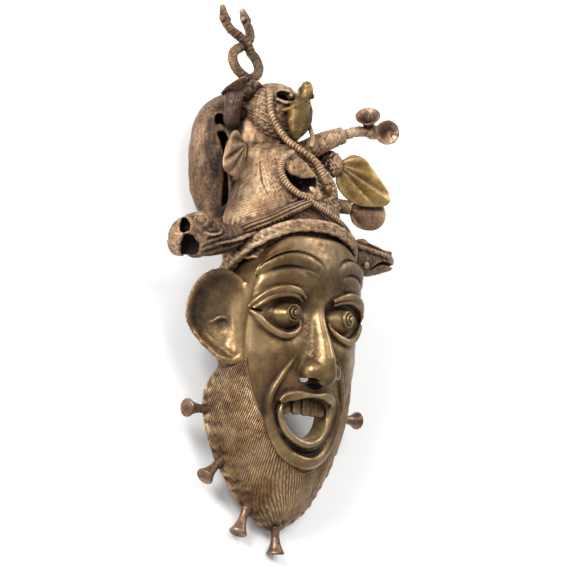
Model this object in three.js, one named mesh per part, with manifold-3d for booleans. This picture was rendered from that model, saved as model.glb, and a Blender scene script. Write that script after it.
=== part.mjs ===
import * as THREE from 'three';
import { ParametricGeometry } from 'three/addons/geometries/ParametricGeometry.js';
import { mergeVertices } from 'three/addons/utils/BufferGeometryUtils.js';
import Module from 'manifold-3d';

// A cast brass face mask with a tall headdress of serpents, in one piece, open at the back.
// It is shaped in its own frame, in millimetres: X across the face, Y up the face, Z out of it,
// with Z = 0 at the rim of the beard. The group at the end lays it on its back.
// Some features come as a pair: side is -1 for the mask's right ear and 1 for its left ear.

const wall = 4;

// The face is a shallow dome inside an egg-shaped line, the jaw line.
const face = { middle: -60, half: 61, up: 95, down: 92, upPower: 3.5, downPower: 1.5 };
const faceHeight = { top: 46, side: 28, chin: 31, brow: 47 };
// Soft swells on that dome: x, y, half width, half height, rise.
const swells = [
  { x: 0, y: 2, wide: 48, tall: 34, rise: 13 },
  { x: 33, y: -58, wide: 15, tall: 14, rise: 4 },
  { x: -33, y: -58, wide: 15, tall: 14, rise: 4 },
  { x: 24, y: -26, wide: 14, tall: 16, rise: -7 },
  { x: -24, y: -26, wide: 14, tall: 16, rise: -7 },
  { x: 0, y: -140, wide: 20, tall: 12, rise: 2 },
];
// The beard's rim, from below one ear round the chin's tip to the other side.
const beardHalf = [[-62, -68], [-77, -90], [-77, -112], [-67, -137], [-51, -161], [-29, -184]];
const beardTip = [0, -196];
const beardSwell = 4;
const rimBack = -3;

const eye = { x: 31, y: -29, z: 37.5, radius: 17.5, pupil: 5.5, pupilStep: 1.7, rings: 2 };
const ear = { x: 56, y: -32, z: 28, wide: 27, tall: 38, sweep: 0.67, dish: 7, thick: 4, lip: 2.6 };
const nose = { x: 10, y: -73, z: 51, wide: 8.5, tall: 9, deep: 10 };
const mouth = { half: 26, top: -93, bottom: -127, corner: -104 };
const tooth = { wide: 8.8, tall: 14, thick: 5, count: 5, y: -99, recess: 4 };
const bell = { neck: 3.3, root: 4.6, mouth: 7.2, length: 19 };

// Lofts of the headdress, upward: y, half width, front, back.
const columnRows = [[14, 62, 47, -20], [36, 62, 48, -28], [56, 59, 46, -28], [80, 56, 43, -24],
  [95, 52, 39, -22], [106, 42, 31, -20], [113, 26, 20, -16]];
const columnHollowRows = [[-20, 52, 38, -40], [20, 53, 40, -36], [50, 40, 34, -30], [80, 34, 27, -30],
  [100, 28, 20, -30], [118, 10, 10, -20]];
const hoodRows = [[52, 42, -12, -54], [70, 50, -10, -62], [88, 54, -5, -67], [112, 55, 0, -68],
  [130, 52, -2, -66], [145, 45, -7, -63], [157, 30, -16, -58], [164, 14, -28, -52]];
const hoodHollowRows = [[60, 35, -14, -48], [72, 43, -12, -55], [90, 47, -10, -60], [112, 48, -6, -61],
  [130, 45, -8, -59], [144, 36, -14, -55], [154, 18, -26, -48]];
const dome = { y: 140, z: -2, radius: 27.5, wall: 6 };
const serpent = { radius: 3.6 };
const ring = { y: 190, z: -34, wide: 14.4, tall: 12.8, radius: 3.9, lean: 0.25 };
const fin = { turn: 0.426, thick: 5, fold: 3 };
const cup = { neck: 3.2, mouth: 10.5 };
const flat = { hood: 2.5, bell: 1.5, y: 86, back: -66.5 };
// An edge of the finished mesh shorter than this is shut.
const shortestEdge = 2.4;

const wasm = await Module();
wasm.setup();
const vec = (x, y, z) => new THREE.Vector3(x, y, z);
const clamp = THREE.MathUtils.clamp;

// A closed mesh as a solid, with its faces turned outward.
function solid(geometry) {
  geometry.deleteAttribute('normal');
  geometry.deleteAttribute('uv');
  const merged = mergeVertices(geometry, 1e-3);
  const spots = merged.attributes.position;
  const corners = [];
  const spot = [vec(0, 0, 0), vec(0, 0, 0), vec(0, 0, 0)];
  let volume = 0;
  for (let first = 0; first < merged.index.count; first += 3) {
    const three = [0, 1, 2].map((k) => merged.index.getX(first + k));
    if (new Set(three).size < 3) {
      continue;
    }
    corners.push(...three);
    three.forEach((corner, k) => spot[k].fromBufferAttribute(spots, corner));
    volume += spot[0].dot(spot[1].cross(spot[2]));
  }
  if (volume < 0) {
    corners.reverse();
  }
  const vertProperties = Float32Array.from(spots.array);
  return new wasm.Manifold(new wasm.Mesh({ numProp: 3, vertProperties, triVerts: Uint32Array.from(corners) }));
}

// A closed skin: u goes once round it and v runs from the point it starts at to the point it ends at.
function skin(place, around, along) {
  return new ParametricGeometry((u, v, spot) => spot.copy(place(u % 1, v)), around, along);
}

// A body along a path. size(t) gives half its width and half its height at t.
function sweep(points, size, { around = 8, along = 12, up = vec(0, 0, 1) } = {}) {
  const path = new THREE.CatmullRomCurve3(points);
  return skin((u, v) => {
    const t = clamp((v * (along + 2) - 1) / along, 0, 1);
    const [wide, tall] = v === 0 || v === 1 ? [0, 0] : size(t);
    const ahead = path.getTangent(t);
    const side = up.clone().cross(ahead).normalize();
    const top = ahead.clone().cross(side);
    const turn = 2 * Math.PI * u;
    return path.getPoint(t).addScaledVector(side, wide * Math.cos(turn)).addScaledVector(top, tall * Math.sin(turn));
  }, around, along + 2);
}

// A round bar along a path.
function bar(points, radius, steps, sides = 6) {
  const section = new THREE.Shape();
  section.absarc(0, 0, radius, 0, 2 * Math.PI);
  const extrudePath = new THREE.CatmullRomCurve3(points);
  return new THREE.ExtrudeGeometry(section, { steps, curveSegments: sides / 2, bevelEnabled: false, extrudePath });
}

function ball(x, y, z, wide, tall = wide, deep = wide, around = 12, down = 8) {
  return new THREE.SphereGeometry(1, around, down).scale(wide, tall, deep).translate(x, y, z);
}

// Turns a shape that stands on its Y axis so that it points along a direction, at a place.
function aim(geometry, place, toward) {
  const turn = new THREE.Quaternion().setFromUnitVectors(vec(0, 1, 0), toward.clone().normalize());
  return geometry.applyQuaternion(turn).translate(place.x, place.y, place.z);
}

const bothSides = (make) => [make(-1), make(1)];

// Distance from the face's middle to the jaw line in one direction, a superellipse.
function jawReach(turn) {
  const upward = Math.sin(turn) > 0;
  const reach = upward ? face.up : face.down;
  const power = upward ? face.upPower : face.downPower;
  const across = Math.abs(Math.cos(turn) / face.half) ** power;
  const along = Math.abs(Math.sin(turn) / reach) ** power;
  return (across + along) ** (-1 / power);
}

const jawHeight = (turn) => faceHeight.side
  + ((Math.sin(turn) > 0 ? faceHeight.brow : faceHeight.chin) - faceHeight.side) * Math.sin(turn) ** 2;

// Height of the face's surface over a point inside the jaw line.
function heightAt(x, y) {
  const turn = Math.atan2(y - face.middle, x);
  const share = Math.min(Math.hypot(x, y - face.middle) / jawReach(turn), 1);
  const edge = jawHeight(turn);
  const power = 0.5 + 0.5 * Math.min(1, Math.max(0, -1.3 * Math.sin(turn)));
  const dome = edge + (faceHeight.top - edge) * (1 - share * share) ** power;
  const lift = (s) => s.rise * Math.exp(-(((x - s.x) / s.wide) ** 2) - ((y - s.y) / s.tall) ** 2);
  return swells.reduce((sum, swell) => sum + lift(swell), dome);
}

const onFace = (x, y, lift = 0) => vec(x, y, heightAt(x, y) + lift);
const pathOnFace = (side, list, lift) => list.map(([x, y]) => onFace(side * x, y, lift));

const mirroredHalf = beardHalf.map(([x, y]) => [-x, y]).reverse();
const beardRim = new THREE.CatmullRomCurve3([...beardHalf, beardTip, ...mirroredHalf].map(([x, y]) => vec(x, y, 0)));

// The shell's outer face: share goes from 0 in the middle over 1 at the jaw line to 2 at the rim.
function shellPoint(turn, share) {
  const reach = jawReach(turn);
  const jaw = vec(Math.cos(turn) * reach, face.middle + Math.sin(turn) * reach, 0);
  if (share <= 1) {
    const x = jaw.x * share;
    const y = face.middle + (jaw.y - face.middle) * share;
    return onFace(x, y);
  }
  const edge = onFace(jaw.x, jaw.y);
  const lower = turn >= Math.PI;
  const rim = lower ? beardRim.getPoint(turn / Math.PI - 1) : vec(jaw.x * 1.02, jaw.y * 1.02, rimBack);
  return edge.lerp(rim, share - 1).add(vec(0, 0, lower ? beardSwell * Math.sin(Math.PI * (share - 1)) : 0));
}

// A point at a depth below that outer face, measured square to it.
function shellInside(turn, share, depth) {
  const step = 0.01;
  const near = clamp(share, step, 2 - step);
  const ahead = shellPoint(turn, near + step).sub(shellPoint(turn, near - step));
  const round = shellPoint(turn + step, near).sub(shellPoint(turn - step, near));
  const inward = share === 0 ? vec(0, 0, -1) : round.cross(ahead).normalize();
  return shellPoint(turn, share).addScaledVector(inward, depth);
}

// The face as a solid block, down to a level: with no depth its outside, with the wall's depth its hollow.
function faceBlock(depth, level) {
  const rows = 10;
  return skin((u, v) => {
    const turn = 2 * Math.PI * (1 - u);
    const row = Math.round(v * (rows + 2));
    const part = Math.min(row / rows, 1);
    const spot = shellInside(turn, part <= 0.6 ? part / 0.6 : 1 + (part - 0.6) / 0.4, depth);
    if (row === rows + 1) {
      spot.z = level;
    }
    return row === rows + 2 ? vec(0, face.middle, level) : spot;
  }, 36, rows + 2);
}

function brows(side) {
  const arch = [[59, -5], [56, 3], [46, 9.5], [33, 14], [23.5, 15], [14, 12], [8, 6], [5.5, -2]];
  const orbit = [[57, -13], [49, -7], [36, -1], [23, -0.5], [14, -4], [9, -11]];
  const swell = (t) => Math.sin(Math.PI * clamp(t, 0.04, 0.96)) ** 0.6;
  return [
    sweep(pathOnFace(side, arch, 0), (t) => [6 * swell(t), 4.4 * swell(t)], { around: 6, along: 10 }),
    sweep(pathOnFace(side, orbit, -1), (t) => [6 * swell(t), 4 * swell(t)], { around: 6, along: 6 }),
  ];
}

function eyeParts(side) {
  const upper = [[59, -24.5], [52, -20.5], [43, -14.5], [32, -10.5], [21, -12], [14, -17]];
  const lower = [[59, -25], [51, -34.5], [40, -42.5], [29, -45], [20, -41.5], [15, -33.5], [13, -24]];
  const lid = (t) => Math.sin(Math.PI * clamp(t, 0.06, 0.94)) ** 0.4;
  const steps = [[0, 0]];
  for (let k = 0; k < eye.rings; k += 1) {
    const radius = eye.pupil * (1 - k / eye.rings);
    steps.push([radius, k * eye.pupilStep], [radius, (k + 1) * eye.pupilStep]);
  }
  steps.push([0, eye.rings * eye.pupilStep]);
  const pupil = new THREE.LatheGeometry(steps.map(([r, h]) => new THREE.Vector2(r, h)), 8);
  const seat = vec(side * eye.x, eye.y, eye.z + eye.radius - 1.2);
  return [
    ball(side * eye.x, eye.y, eye.z, eye.radius, eye.radius, eye.radius, 12, 8),
    aim(pupil, seat, vec(side * 0.05, 0, 1)),
    sweep(pathOnFace(side, upper, 2.5), (t) => [3.6 * lid(t), 4.2 * lid(t)], { around: 6, along: 8 }),
    sweep(pathOnFace(side, lower, 1.5), (t) => [3 * lid(t), 4 * lid(t)], { around: 6, along: 9 }),
  ];
}

function noseParts() {
  const spine = [vec(0, -8, 48), vec(0, -30, 44), vec(0, -50, 45), vec(0, -66, 48), vec(0, -78, 50), vec(0, -85, 49)];
  const wides = [4, 7, 8, 9.5, 9.5, 5];
  const talls = [6, 11, 16, 17.5, 14, 6];
  const ridge = sweep(spine, (t) => [blend(wides, t), blend(talls, t)], { around: 8, along: 8 });
  return [ridge, ...bothSides((side) => ball(side * nose.x, nose.y, nose.z, nose.wide, nose.tall, nose.deep, 8, 6))];
}

// A line that is the same on both sides: the half list runs from its end to the middle.
const across = (half) => [...half, ...half.slice(0, -1).map(([x, y]) => [-x, y]).reverse()];

function muzzle() {
  const fold = across([[15, -61], [26, -73], [33.5, -91], [33, -108], [25, -124], [13, -135], [0, -139]]);
  const lower = across([[28, -97], [29, -105], [26, -116], [18, -126], [8, -131], [0, -132]]);
  const upper = across([[30, -97], [24, -92], [14, -89.5], [0, -90.5]]);
  const fade = (t) => Math.sin(Math.PI * clamp(t, 0.02, 0.98)) ** 0.5;
  const foldFade = (t) => Math.sin(Math.PI * clamp(t, 0.02, 0.98)) ** 0.9;
  return [
    sweep(pathOnFace(1, fold, -1), (t) => [5.8 * foldFade(t), 6.2 * foldFade(t)], { around: 6, along: 18 }),
    sweep(pathOnFace(1, lower, 2), (t) => [3.8 * fade(t), 5.2 * fade(t)], { around: 6, along: 14 }),
    sweep(pathOnFace(1, upper, 2.5), (t) => [3.4 * fade(t), 4.6 * fade(t)], { around: 6, along: 8 }),
  ];
}

function teeth() {
  return Array.from({ length: tooth.count }, (_, k) => {
    const x = (k - (tooth.count - 1) / 2) * tooth.wide;
    const height = heightAt(x, tooth.y) - tooth.recess;
    return new THREE.BoxGeometry(tooth.wide - 0.8, tooth.tall, tooth.thick).translate(x, tooth.y, height);
  });
}

function mouthCut() {
  const outline = new THREE.Shape();
  outline.absellipse(0, mouth.corner, mouth.half, mouth.top - mouth.corner, 0, Math.PI);
  outline.absellipse(0, mouth.corner, mouth.half, mouth.corner - mouth.bottom, Math.PI, 2 * Math.PI);
  return new THREE.ExtrudeGeometry(outline, { depth: 90, curveSegments: 8, bevelEnabled: false }).translate(0, 0, -20);
}

// Both nostrils slope up and inward, through to the hollow behind.
function nostrilCut(side) {
  const start = vec(side * 13, -86, 58);
  const end = vec(side * 3, -74, 22);
  const length = start.distanceTo(end);
  const shaft = new THREE.CylinderGeometry(5, 5, length, 8).translate(0, length / 2, 0);
  return aim(shaft, start, end.clone().sub(start));
}

function jawRoll() {
  const line = [];
  for (let step = 0; step <= 24; step += 1) {
    const turn = Math.PI * (1.04 + 0.92 * step / 24);
    const reach = jawReach(turn) - 1;
    line.push([Math.cos(turn) * reach, face.middle + Math.sin(turn) * reach]);
  }
  return sweep(pathOnFace(1, line, 0.5), () => [2.6, 2.6], { around: 4, along: 20 });
}

// An ear is a shallow dish with a rolled lip, swept back from the temple.
function earDish(side) {
  const out = vec(side * Math.cos(ear.sweep), 0, -Math.sin(ear.sweep));
  const faceOut = vec(side * Math.sin(ear.sweep), 0, Math.cos(ear.sweep));
  return skin((u, v) => {
    const turn = 2 * Math.PI * u;
    const front = v <= 0.5;
    const share = Math.sin(Math.PI * v);
    const low = Math.max(0, -Math.sin(turn)) ** 1.5;
    const wide = share * (ear.wide * (1 - 0.35 * low) * Math.cos(turn) - 9 * low) + ear.wide - 5;
    const tall = ear.tall * share * Math.sin(turn);
    const dip = -ear.dish * Math.cos(Math.PI * share / 2);
    const roll = ear.lip * Math.exp(-(((share - 0.88) / 0.12) ** 2));
    const depth = front ? dip + roll : dip - ear.thick * (1 - share ** 4);
    return vec(side * ear.x, ear.y, ear.z).addScaledVector(out, wide).add(vec(0, tall, 0)).addScaledVector(faceOut, depth);
  }, 18, 10);
}

function bellLug(x, y, turn) {
  const profile = [[0, -4], [bell.root, -3], [bell.neck, 5], [bell.neck + 0.8, 10],
    [bell.mouth, bell.length - 2], [bell.mouth - 0.6, bell.length], [0, bell.length - 1]];
  const lathe = new THREE.LatheGeometry(profile.map(([r, h]) => new THREE.Vector2(r, h)), 8);
  return aim(lathe, vec(x, y, 1), vec(Math.cos(turn), Math.sin(turn), 0));
}

const bells = () => [
  bellLug(-77, -103, Math.PI), bellLug(77, -103, 0), bellLug(-62, -144, Math.PI + 0.66),
  bellLug(-33, -181, Math.PI + 1.13), bellLug(0, -195, Math.PI * 1.5),
];

// A loft of flat ellipses stacked up Y: each row is y, half width, front and back.
function stack(rows, around, along) {
  const spot = (key) => new THREE.CatmullRomCurve3(rows.map((row) => vec(row[0], row[key], 0)));
  const [wides, fronts, backs] = [spot(1), spot(2), spot(3)];
  return skin((u, v) => {
    const t = clamp((v * (along + 2) - 1) / along, 0, 1);
    const closed = v === 0 || v === 1;
    const turn = 2 * Math.PI * u;
    const wide = wides.getPoint(t);
    const middle = (fronts.getPoint(t).y + backs.getPoint(t).y) / 2;
    const deep = fronts.getPoint(t).y - middle;
    const size = closed ? 0 : 1;
    return vec(size * wide.y * Math.cos(turn), wide.x, middle + size * deep * Math.sin(turn));
  }, around, along);
}

function bandRoll() {
  const half = [[63, 12, 4], [60, 23, 30], [45, 33, 44], [20, 40, 50.5], [0, 41, 52.5]];
  const line = [...half, ...half.slice(0, -1).map(([x, y, z]) => [-x, y, z]).reverse()].map((spot) => vec(...spot));
  return sweep(line, () => [5.2, 4.4], { around: 6, along: 14, up: vec(0, 1, 0) });
}

// Two serpents run over the headdress: one from the dome's side down to the middle, and one that
// starts beside it, turns round the opening and leaves for the mask's left, ending in a head.
function serpents() {
  const upper = [vec(-14, 156, 6), vec(-17, 145, 16), vec(-17, 132, 21), vec(-14, 118, 32), vec(-8, 106, 41),
    vec(2, 97, 43), vec(13, 88, 43), vec(21, 78, 43), vec(25, 68, 44)];
  const beside = [vec(4, 136, 33), vec(7, 124, 36), vec(5, 113, 40), vec(0, 104, 42)];
  const loop = [vec(-18, 102, 40), vec(-27, 96, 38), vec(-31, 86, 38), vec(-27, 75, 40), vec(-18, 67, 43),
    vec(-6, 61, 46), vec(7, 56, 47), vec(21, 50, 47), vec(38, 44, 42), vec(54, 38, 32)];
  const lower = [vec(10, 61, 47), vec(-10, 58, 47), vec(-29, 52, 44), vec(-46, 43, 38), vec(-58, 37, 29), vec(-66, 32, 22)];
  return [
    bar(upper, serpent.radius, 14),
    bar(beside, serpent.radius - 0.6, 5),
    bar(loop, serpent.radius, 17),
    sweep(lower, (t) => [serpent.radius + 2.4 * t, serpent.radius + 3 * t], { around: 6, along: 10 }),
  ];
}

// A serpent's head points outward, deep at the eyes and blunt at the snout. The jaw's rise says
// how its middle line climbs to the snout. The mask's right one gapes, with two hollows.
const heads = [
  { side: -1, eyeX: 90, eyeY: 40, eyeSize: 9, snout: [4, 3.5, 5],
    talls: [6, 11, 15, 16, 16, 14, 7], deeps: [8, 11, 13, 13, 12, 10, 5],
    line: [[54, 34, 25], [72, 29, 21], [88, 26, 18], [100, 24, 16], [110, 22, 14], [118, 21, 12], [122, 20, 11.5]] },
  { side: 1, eyeX: 77, eyeY: 41, eyeSize: 5.5, snout: [4, 3.5, 5],
    talls: [9, 13, 13, 11, 9.5, 7], deeps: [9, 12, 12, 10, 8, 5],
    line: [[52, 32, 26], [68, 28, 22], [82, 27, 18], [98, 29, 15], [112, 30, 13], [118, 30, 12.5]] },
];

function blend(list, t) {
  const slot = Math.min(Math.floor(t * (list.length - 1)), list.length - 2);
  return THREE.MathUtils.lerp(list[slot], list[slot + 1], t * (list.length - 1) - slot);
}

function serpentHead({ side, eyeX, eyeY, eyeSize, snout, talls, deeps, line }) {
  const spine = line.map(([x, y, z]) => vec(side * x, y, z));
  const [x, y, z] = line.at(-2);
  return [
    sweep(spine, (t) => [blend(talls, t), blend(deeps, t)], { around: 10, along: 10 }),
    ball(side * eyeX, eyeY, line[2][2] + 2, eyeSize, eyeSize, eyeSize, 8, 6),
    ball(side * x, y + talls.at(-2) - 1, z, ...snout, 6, 4),
  ];
}

const mouthHollows = () => [
  ball(-107, 34, 24, 4.5, 5.5, 10, 8, 5), ball(-107, 19, 24, 8, 8.5, 14, 8, 6),
  new THREE.BoxGeometry(26, 2.4, 40).rotateZ(-0.1).translate(113, 26, 14),
];

// The hanging ring: two serpents rise, part round a hole, cross at the top and end in heads.
function ringParts() {
  const tilt = (x, y) => vec(x, ring.y + y, ring.z - ring.lean * y);
  const spot = (turn, grow = 1) => tilt(grow * ring.wide * Math.sin(turn), -ring.tall * Math.cos(turn));
  return bothSides((side) => {
    const line = [tilt(side * -4, -26), tilt(side * 1, -15)];
    for (let step = 1; step <= 6; step += 1) {
      line.push(spot(side * Math.PI * (0.1 + 0.8 * step / 7)));
    }
    line.push(tilt(side * 0.5, 15), tilt(side * -6, 23), tilt(side * -9.5, 32), tilt(side * -10, 41));
    line.forEach((place, k) => {
      place.z += side * (k > 6 ? 2 : 0);
    });
    const body = (t) => ring.radius * (t > 0.9 ? 1.1 : 1);
    const head = tilt(side * -10.5, 45).add(vec(0, 0, side * 2));
    return [
      sweep(line, (t) => [body(t), body(t)], { around: 6, along: 18 }),
      ball(head.x, head.y, head.z, 4.8, 8, 5.4, 8, 5),
    ];
  }).flat();
}

// A cup: a flared funnel on a stalk, from its root to the middle of its mouth.
function cupParts(root, mouthSpot) {
  const length = root.distanceTo(mouthSpot);
  const profile = [[0, 0], [cup.neck, 0], [cup.neck + 0.6, length * 0.35],
    [cup.mouth, length], [cup.mouth - 1.6, length], [0, length * 0.62]];
  const lathe = new THREE.LatheGeometry(profile.map(([r, h]) => new THREE.Vector2(r, h)), 10);
  return aim(lathe, root, mouthSpot.clone().sub(root));
}

function farArm() {
  const line = [vec(22, 112, 14), vec(38, 122, 24), vec(50, 127, 29), vec(61, 131, 34), vec(72, 132, 38)];
  return [
    sweep(line, (t) => (t < 0.52 ? [9 - 3 * t, 9 - 3 * t] : [4.4, 4.4]), { around: 7, along: 7 }),
    ball(76, 132, 39, 9, 6, 7, 8, 5),
    cupParts(vec(74, 133, 36), vec(63, 143, 45)),
    cupParts(vec(84, 133, 43), vec(78, 130, 53)),
  ];
}

function nearArm() {
  const line = [vec(-34, 106, -8), vec(-37, 124, -8), vec(-39, 138, -6), vec(-41, 146, -4)];
  return [
    sweep(line, (t) => [9 - 2 * t, 9 - 2 * t], { around: 7, along: 4 }),
    cupParts(vec(-40, 142, -4), vec(-42, 160, -4)),
    cupParts(vec(-37, 142, -4), vec(-27, 155, 0)),
  ];
}

// A fan-shaped leaf in an upright plane that turns a little forward. Its outline is a list of
// directions in degrees with their reach; folds run out from its root, and it thins to its edge.
function leaf(side, place, turn, tilt, outline, folds) {
  const spline = new THREE.SplineCurve(outline.map(([degrees, reach]) => new THREE.Vector2(degrees, reach)));
  const across = 9;
  return skin((u, v) => {
    const front = u < 0.5;
    const spread = front ? 2 * u : 2 - 2 * u;
    const edge = spline.getPoint(spread);
    const angle = THREE.MathUtils.degToRad(edge.x);
    const reach = edge.y * v;
    const depth = Math.sqrt(Math.sin(Math.PI * spread) * (1 - v ** 4));
    const fold = front ? fin.fold * v * (Math.abs(Math.sin(Math.PI * folds * spread)) - 0.5) : 0;
    const high = (front ? 1 : -1) * fin.thick / 2 * depth + fold * depth;
    return vec(Math.cos(angle) * reach, Math.sin(angle) * reach, high);
  }, 2 * across, 4).rotateX(tilt).rotateY(-turn).scale(side, 1, 1).translate(side * place[0], place[1], place[2]);
}

function leaves() {
  const broad = [[34, 14], [14, 24], [-10, 34], [-25, 48], [-34, 51], [-48, 42], [-66, 32], [-92, 14]];
  const small = [[40, 14], [18, 26], [0, 34], [-25, 34], [-48, 24], [-70, 12]];
  const hanging = [[-30, 12], [-50, 26], [-66, 36], [-84, 38], [-100, 24]];
  const stem = (side) => [vec(side * 40, 73, 12), vec(side * 53, 71, 16), vec(side * 66, 70, 21)];
  return [
    ...bothSides((side) => leaf(side, [52, 105, 19], fin.turn, 0, broad, 3.5)),
    leaf(1, [60, 70, 18], fin.turn, 0.2, small, 2.5),
    ...bothSides((side) => leaf(side, [38, 106, -36], -0.79, 0, hanging, 2.5)),
    sweep(stem(1), () => [6, 5], { around: 6, along: 3 }),
    ...bothSides((side) => ball(side * 46, 104, 16, 11, 11, 12, 8, 5)),
  ];
}

// A bird sits before the dome: smooth breast, small head raised over it.
function bird() {
  const neck = [vec(0, 142, 30), vec(0, 151, 33), vec(0, 158, 35), vec(0, 162, 36), vec(0, 164, 36)];
  const neckSize = (t) => [6 * (1 - t ** 3), 6.5 * (1 - t ** 3)];
  return [
    ball(0, 134, 27, 14, 20, 10, 10, 7),
    ball(0, 148, 28, 12, 5, 9, 8, 5),
    sweep(neck, neckSize, { around: 8, along: 5, up: vec(1, 0, 0) }),
    ball(0, 154, 41, 2.8, 3.4, 3.6, 6, 4),
    ball(-10, 146, 20, 3.2, 3.2, 3.2, 6, 4),
  ];
}

// A beak-like flap lies across the opening inside the serpent's loop.
function openingParts() {
  return [
    sweep([vec(-24, 96, 35), vec(-11, 90, 40), vec(3, 84, 44)], (t) => [6.5 - 4.5 * t, 3 - t], { around: 6, along: 3 }),
    sweep([vec(8, 66, 43), vec(5, 72, 44), vec(1, 78, 42)], (t) => [4.5 - 3.5 * t, 3 - t], { around: 5, along: 2 }),
  ];
}
const openingCut = () => ball(-9, 81, 40, 15, 11, 20, 10, 6);

// On both sides a slot parts the hood from the column. It slants inward to the back, into the
// hood's hollow, and is wider at its low end. The outline is seen along the slant.
function slotCut(side) {
  const corners = [[-46, 137], [-38, 135], [-38, 112], [-37, 88], [-34, 80], [-34, 60], [-50, 60], [-50, 74],
    [-46, 88], [-44.5, 112]];
  const outline = new THREE.Shape(corners.map(([x, y]) => new THREE.Vector2(x, y)));
  return new THREE.ExtrudeGeometry(outline, { depth: 52, bevelEnabled: false })
    .translate(0, 0, -12).rotateY(-Math.PI / 4).scale(-side, 1, 1);
}

// Where it lies: on the hood's back and on the mouth of the lowest bell, each cut a little flat.
const hoodBack = { y: flat.y, z: flat.back + flat.hood };
const bellLow = { y: -195 - bell.length, z: 1 - bell.mouth + flat.bell };
const lie = Math.atan2(bellLow.z - hoodBack.z, hoodBack.y - bellLow.y);
const below = -Math.cos(lie) * hoodBack.z - Math.sin(lie) * hoodBack.y;
const ground = () => new THREE.BoxGeometry(400, 600, 60).translate(0, 0, -30 - below).rotateX(-lie);

const join = (list) => list.map(solid).reduce((sum, next) => sum.add(next));
const outside = join([
  faceBlock(0, rimBack), stack(columnRows, 24, 10), stack(hoodRows, 20, 10), bandRoll(), jawRoll(),
  ball(0, dome.y, dome.z, dome.radius, dome.radius, dome.radius, 16, 10),
  ...noseParts(), ...bothSides(brows).flat(), ...bothSides(eyeParts).flat(), ...bothSides(earDish),
]);
const hollow = join([
  faceBlock(wall, -100), stack(columnHollowRows, 12, 6), stack(hoodHollowRows, 14, 7),
  ball(0, dome.y, dome.z, ...Array(3).fill(dome.radius - dome.wall), 8, 6),
  ball(0, -64, 44, 6, 14, 14, 6, 5),
]);
const rearCut = new THREE.BoxGeometry(160, 110, 60).translate(0, -5, rimBack - 30);
const openings = join([mouthCut(), ...bothSides(nostrilCut), openingCut(), ...bothSides(slotCut), rearCut]);
const added = join([
  ...muzzle(), ...teeth(), ...bells(), ...serpents(), ...heads.flatMap(serpentHead),
  ...ringParts(), ...farArm(), ...nearArm(), ...leaves(), ...bird(), ...openingParts(),
]);
const cast = outside.subtract(hollow).subtract(openings).add(added).subtract(join(mouthHollows()));

// The joins leave many tiny faces. An edge under a length is shut to one of its ends wherever the
// two ends share just two neighbours and no face round them would turn far.
function withoutSlivers(body, shortest) {
  const mesh = body.getMesh();
  const spot = (k) => vec(...mesh.vertProperties.subarray(3 * k, 3 * k + 3));
  const spots = Array.from({ length: mesh.vertProperties.length / 3 }, (_, k) => spot(k));
  const faces = [];
  const facesOf = spots.map(() => new Set());
  for (let first = 0; first < mesh.triVerts.length; first += 3) {
    const corners = Array.from(mesh.triVerts.subarray(first, first + 3));
    corners.forEach((corner) => facesOf[corner].add(faces.length));
    faces.push(corners);
  }
  const normal = ([a, b, c]) => spots[b].clone().sub(spots[a]).cross(spots[c].clone().sub(spots[a]));
  const neighbours = (k) => new Set([...facesOf[k]].flatMap((f) => faces[f]));
  const shut = (kept, lost) => {
    const shared = neighbours(kept).intersection(neighbours(lost));
    const moved = [...facesOf[lost]].filter((f) => !faces[f].includes(kept));
    const stays = moved.every((f) => {
      const before = normal(faces[f]);
      const after = normal(faces[f].map((corner) => (corner === lost ? kept : corner)));
      return after.length() > 0.02 && before.dot(after) > 0.85 * before.length() * after.length();
    });
    if (shared.size !== 4 || !stays) {
      return false;
    }
    for (const f of facesOf[lost]) {
      if (faces[f].includes(kept)) {
        faces[f].forEach((corner) => corner !== lost && facesOf[corner].delete(f));
        faces[f] = null;
      } else {
        faces[f] = faces[f].map((corner) => (corner === lost ? kept : corner));
        facesOf[kept].add(f);
      }
    }
    facesOf[lost].clear();
    return true;
  };
  let found = true;
  while (found) {
    found = false;
    for (let f = 0; f < faces.length; f += 1) {
      for (let k = 0; faces[f] && k < 3; k += 1) {
        const [a, b] = [faces[f][k], faces[f][(k + 1) % 3]];
        if (spots[a].distanceTo(spots[b]) < shortest && (shut(a, b) || shut(b, a))) {
          found = true;
        }
      }
    }
  }
  const geometry = new THREE.BufferGeometry().setFromPoints(spots);
  geometry.setIndex(faces.filter((corners) => corners).flat());
  return solid(geometry);
}

function geometryOf(body) {
  const mesh = body.getMesh();
  const geometry = new THREE.BufferGeometry();
  geometry.setAttribute('position', new THREE.BufferAttribute(mesh.vertProperties, 3));
  geometry.setIndex(new THREE.BufferAttribute(mesh.triVerts, 1));
  geometry.computeVertexNormals();
  return geometry;
}

const whole = withoutSlivers(cast, shortestEdge).subtract(solid(ground()));
const brass = new THREE.MeshStandardMaterial({ color: 0x86734c, roughness: 0.45, metalness: 0.9 });
const mask = new THREE.Mesh(geometryOf(whole), brass);
mask.name = 'mask';
const model = new THREE.Group();
model.add(mask);
model.rotation.x = lie;
model.updateMatrixWorld(true);
const box = new THREE.Box3().setFromObject(model, true);
const centre = box.getCenter(vec(0, 0, 0));
model.position.set(-centre.x, -centre.y, below);

export default model;
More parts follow.
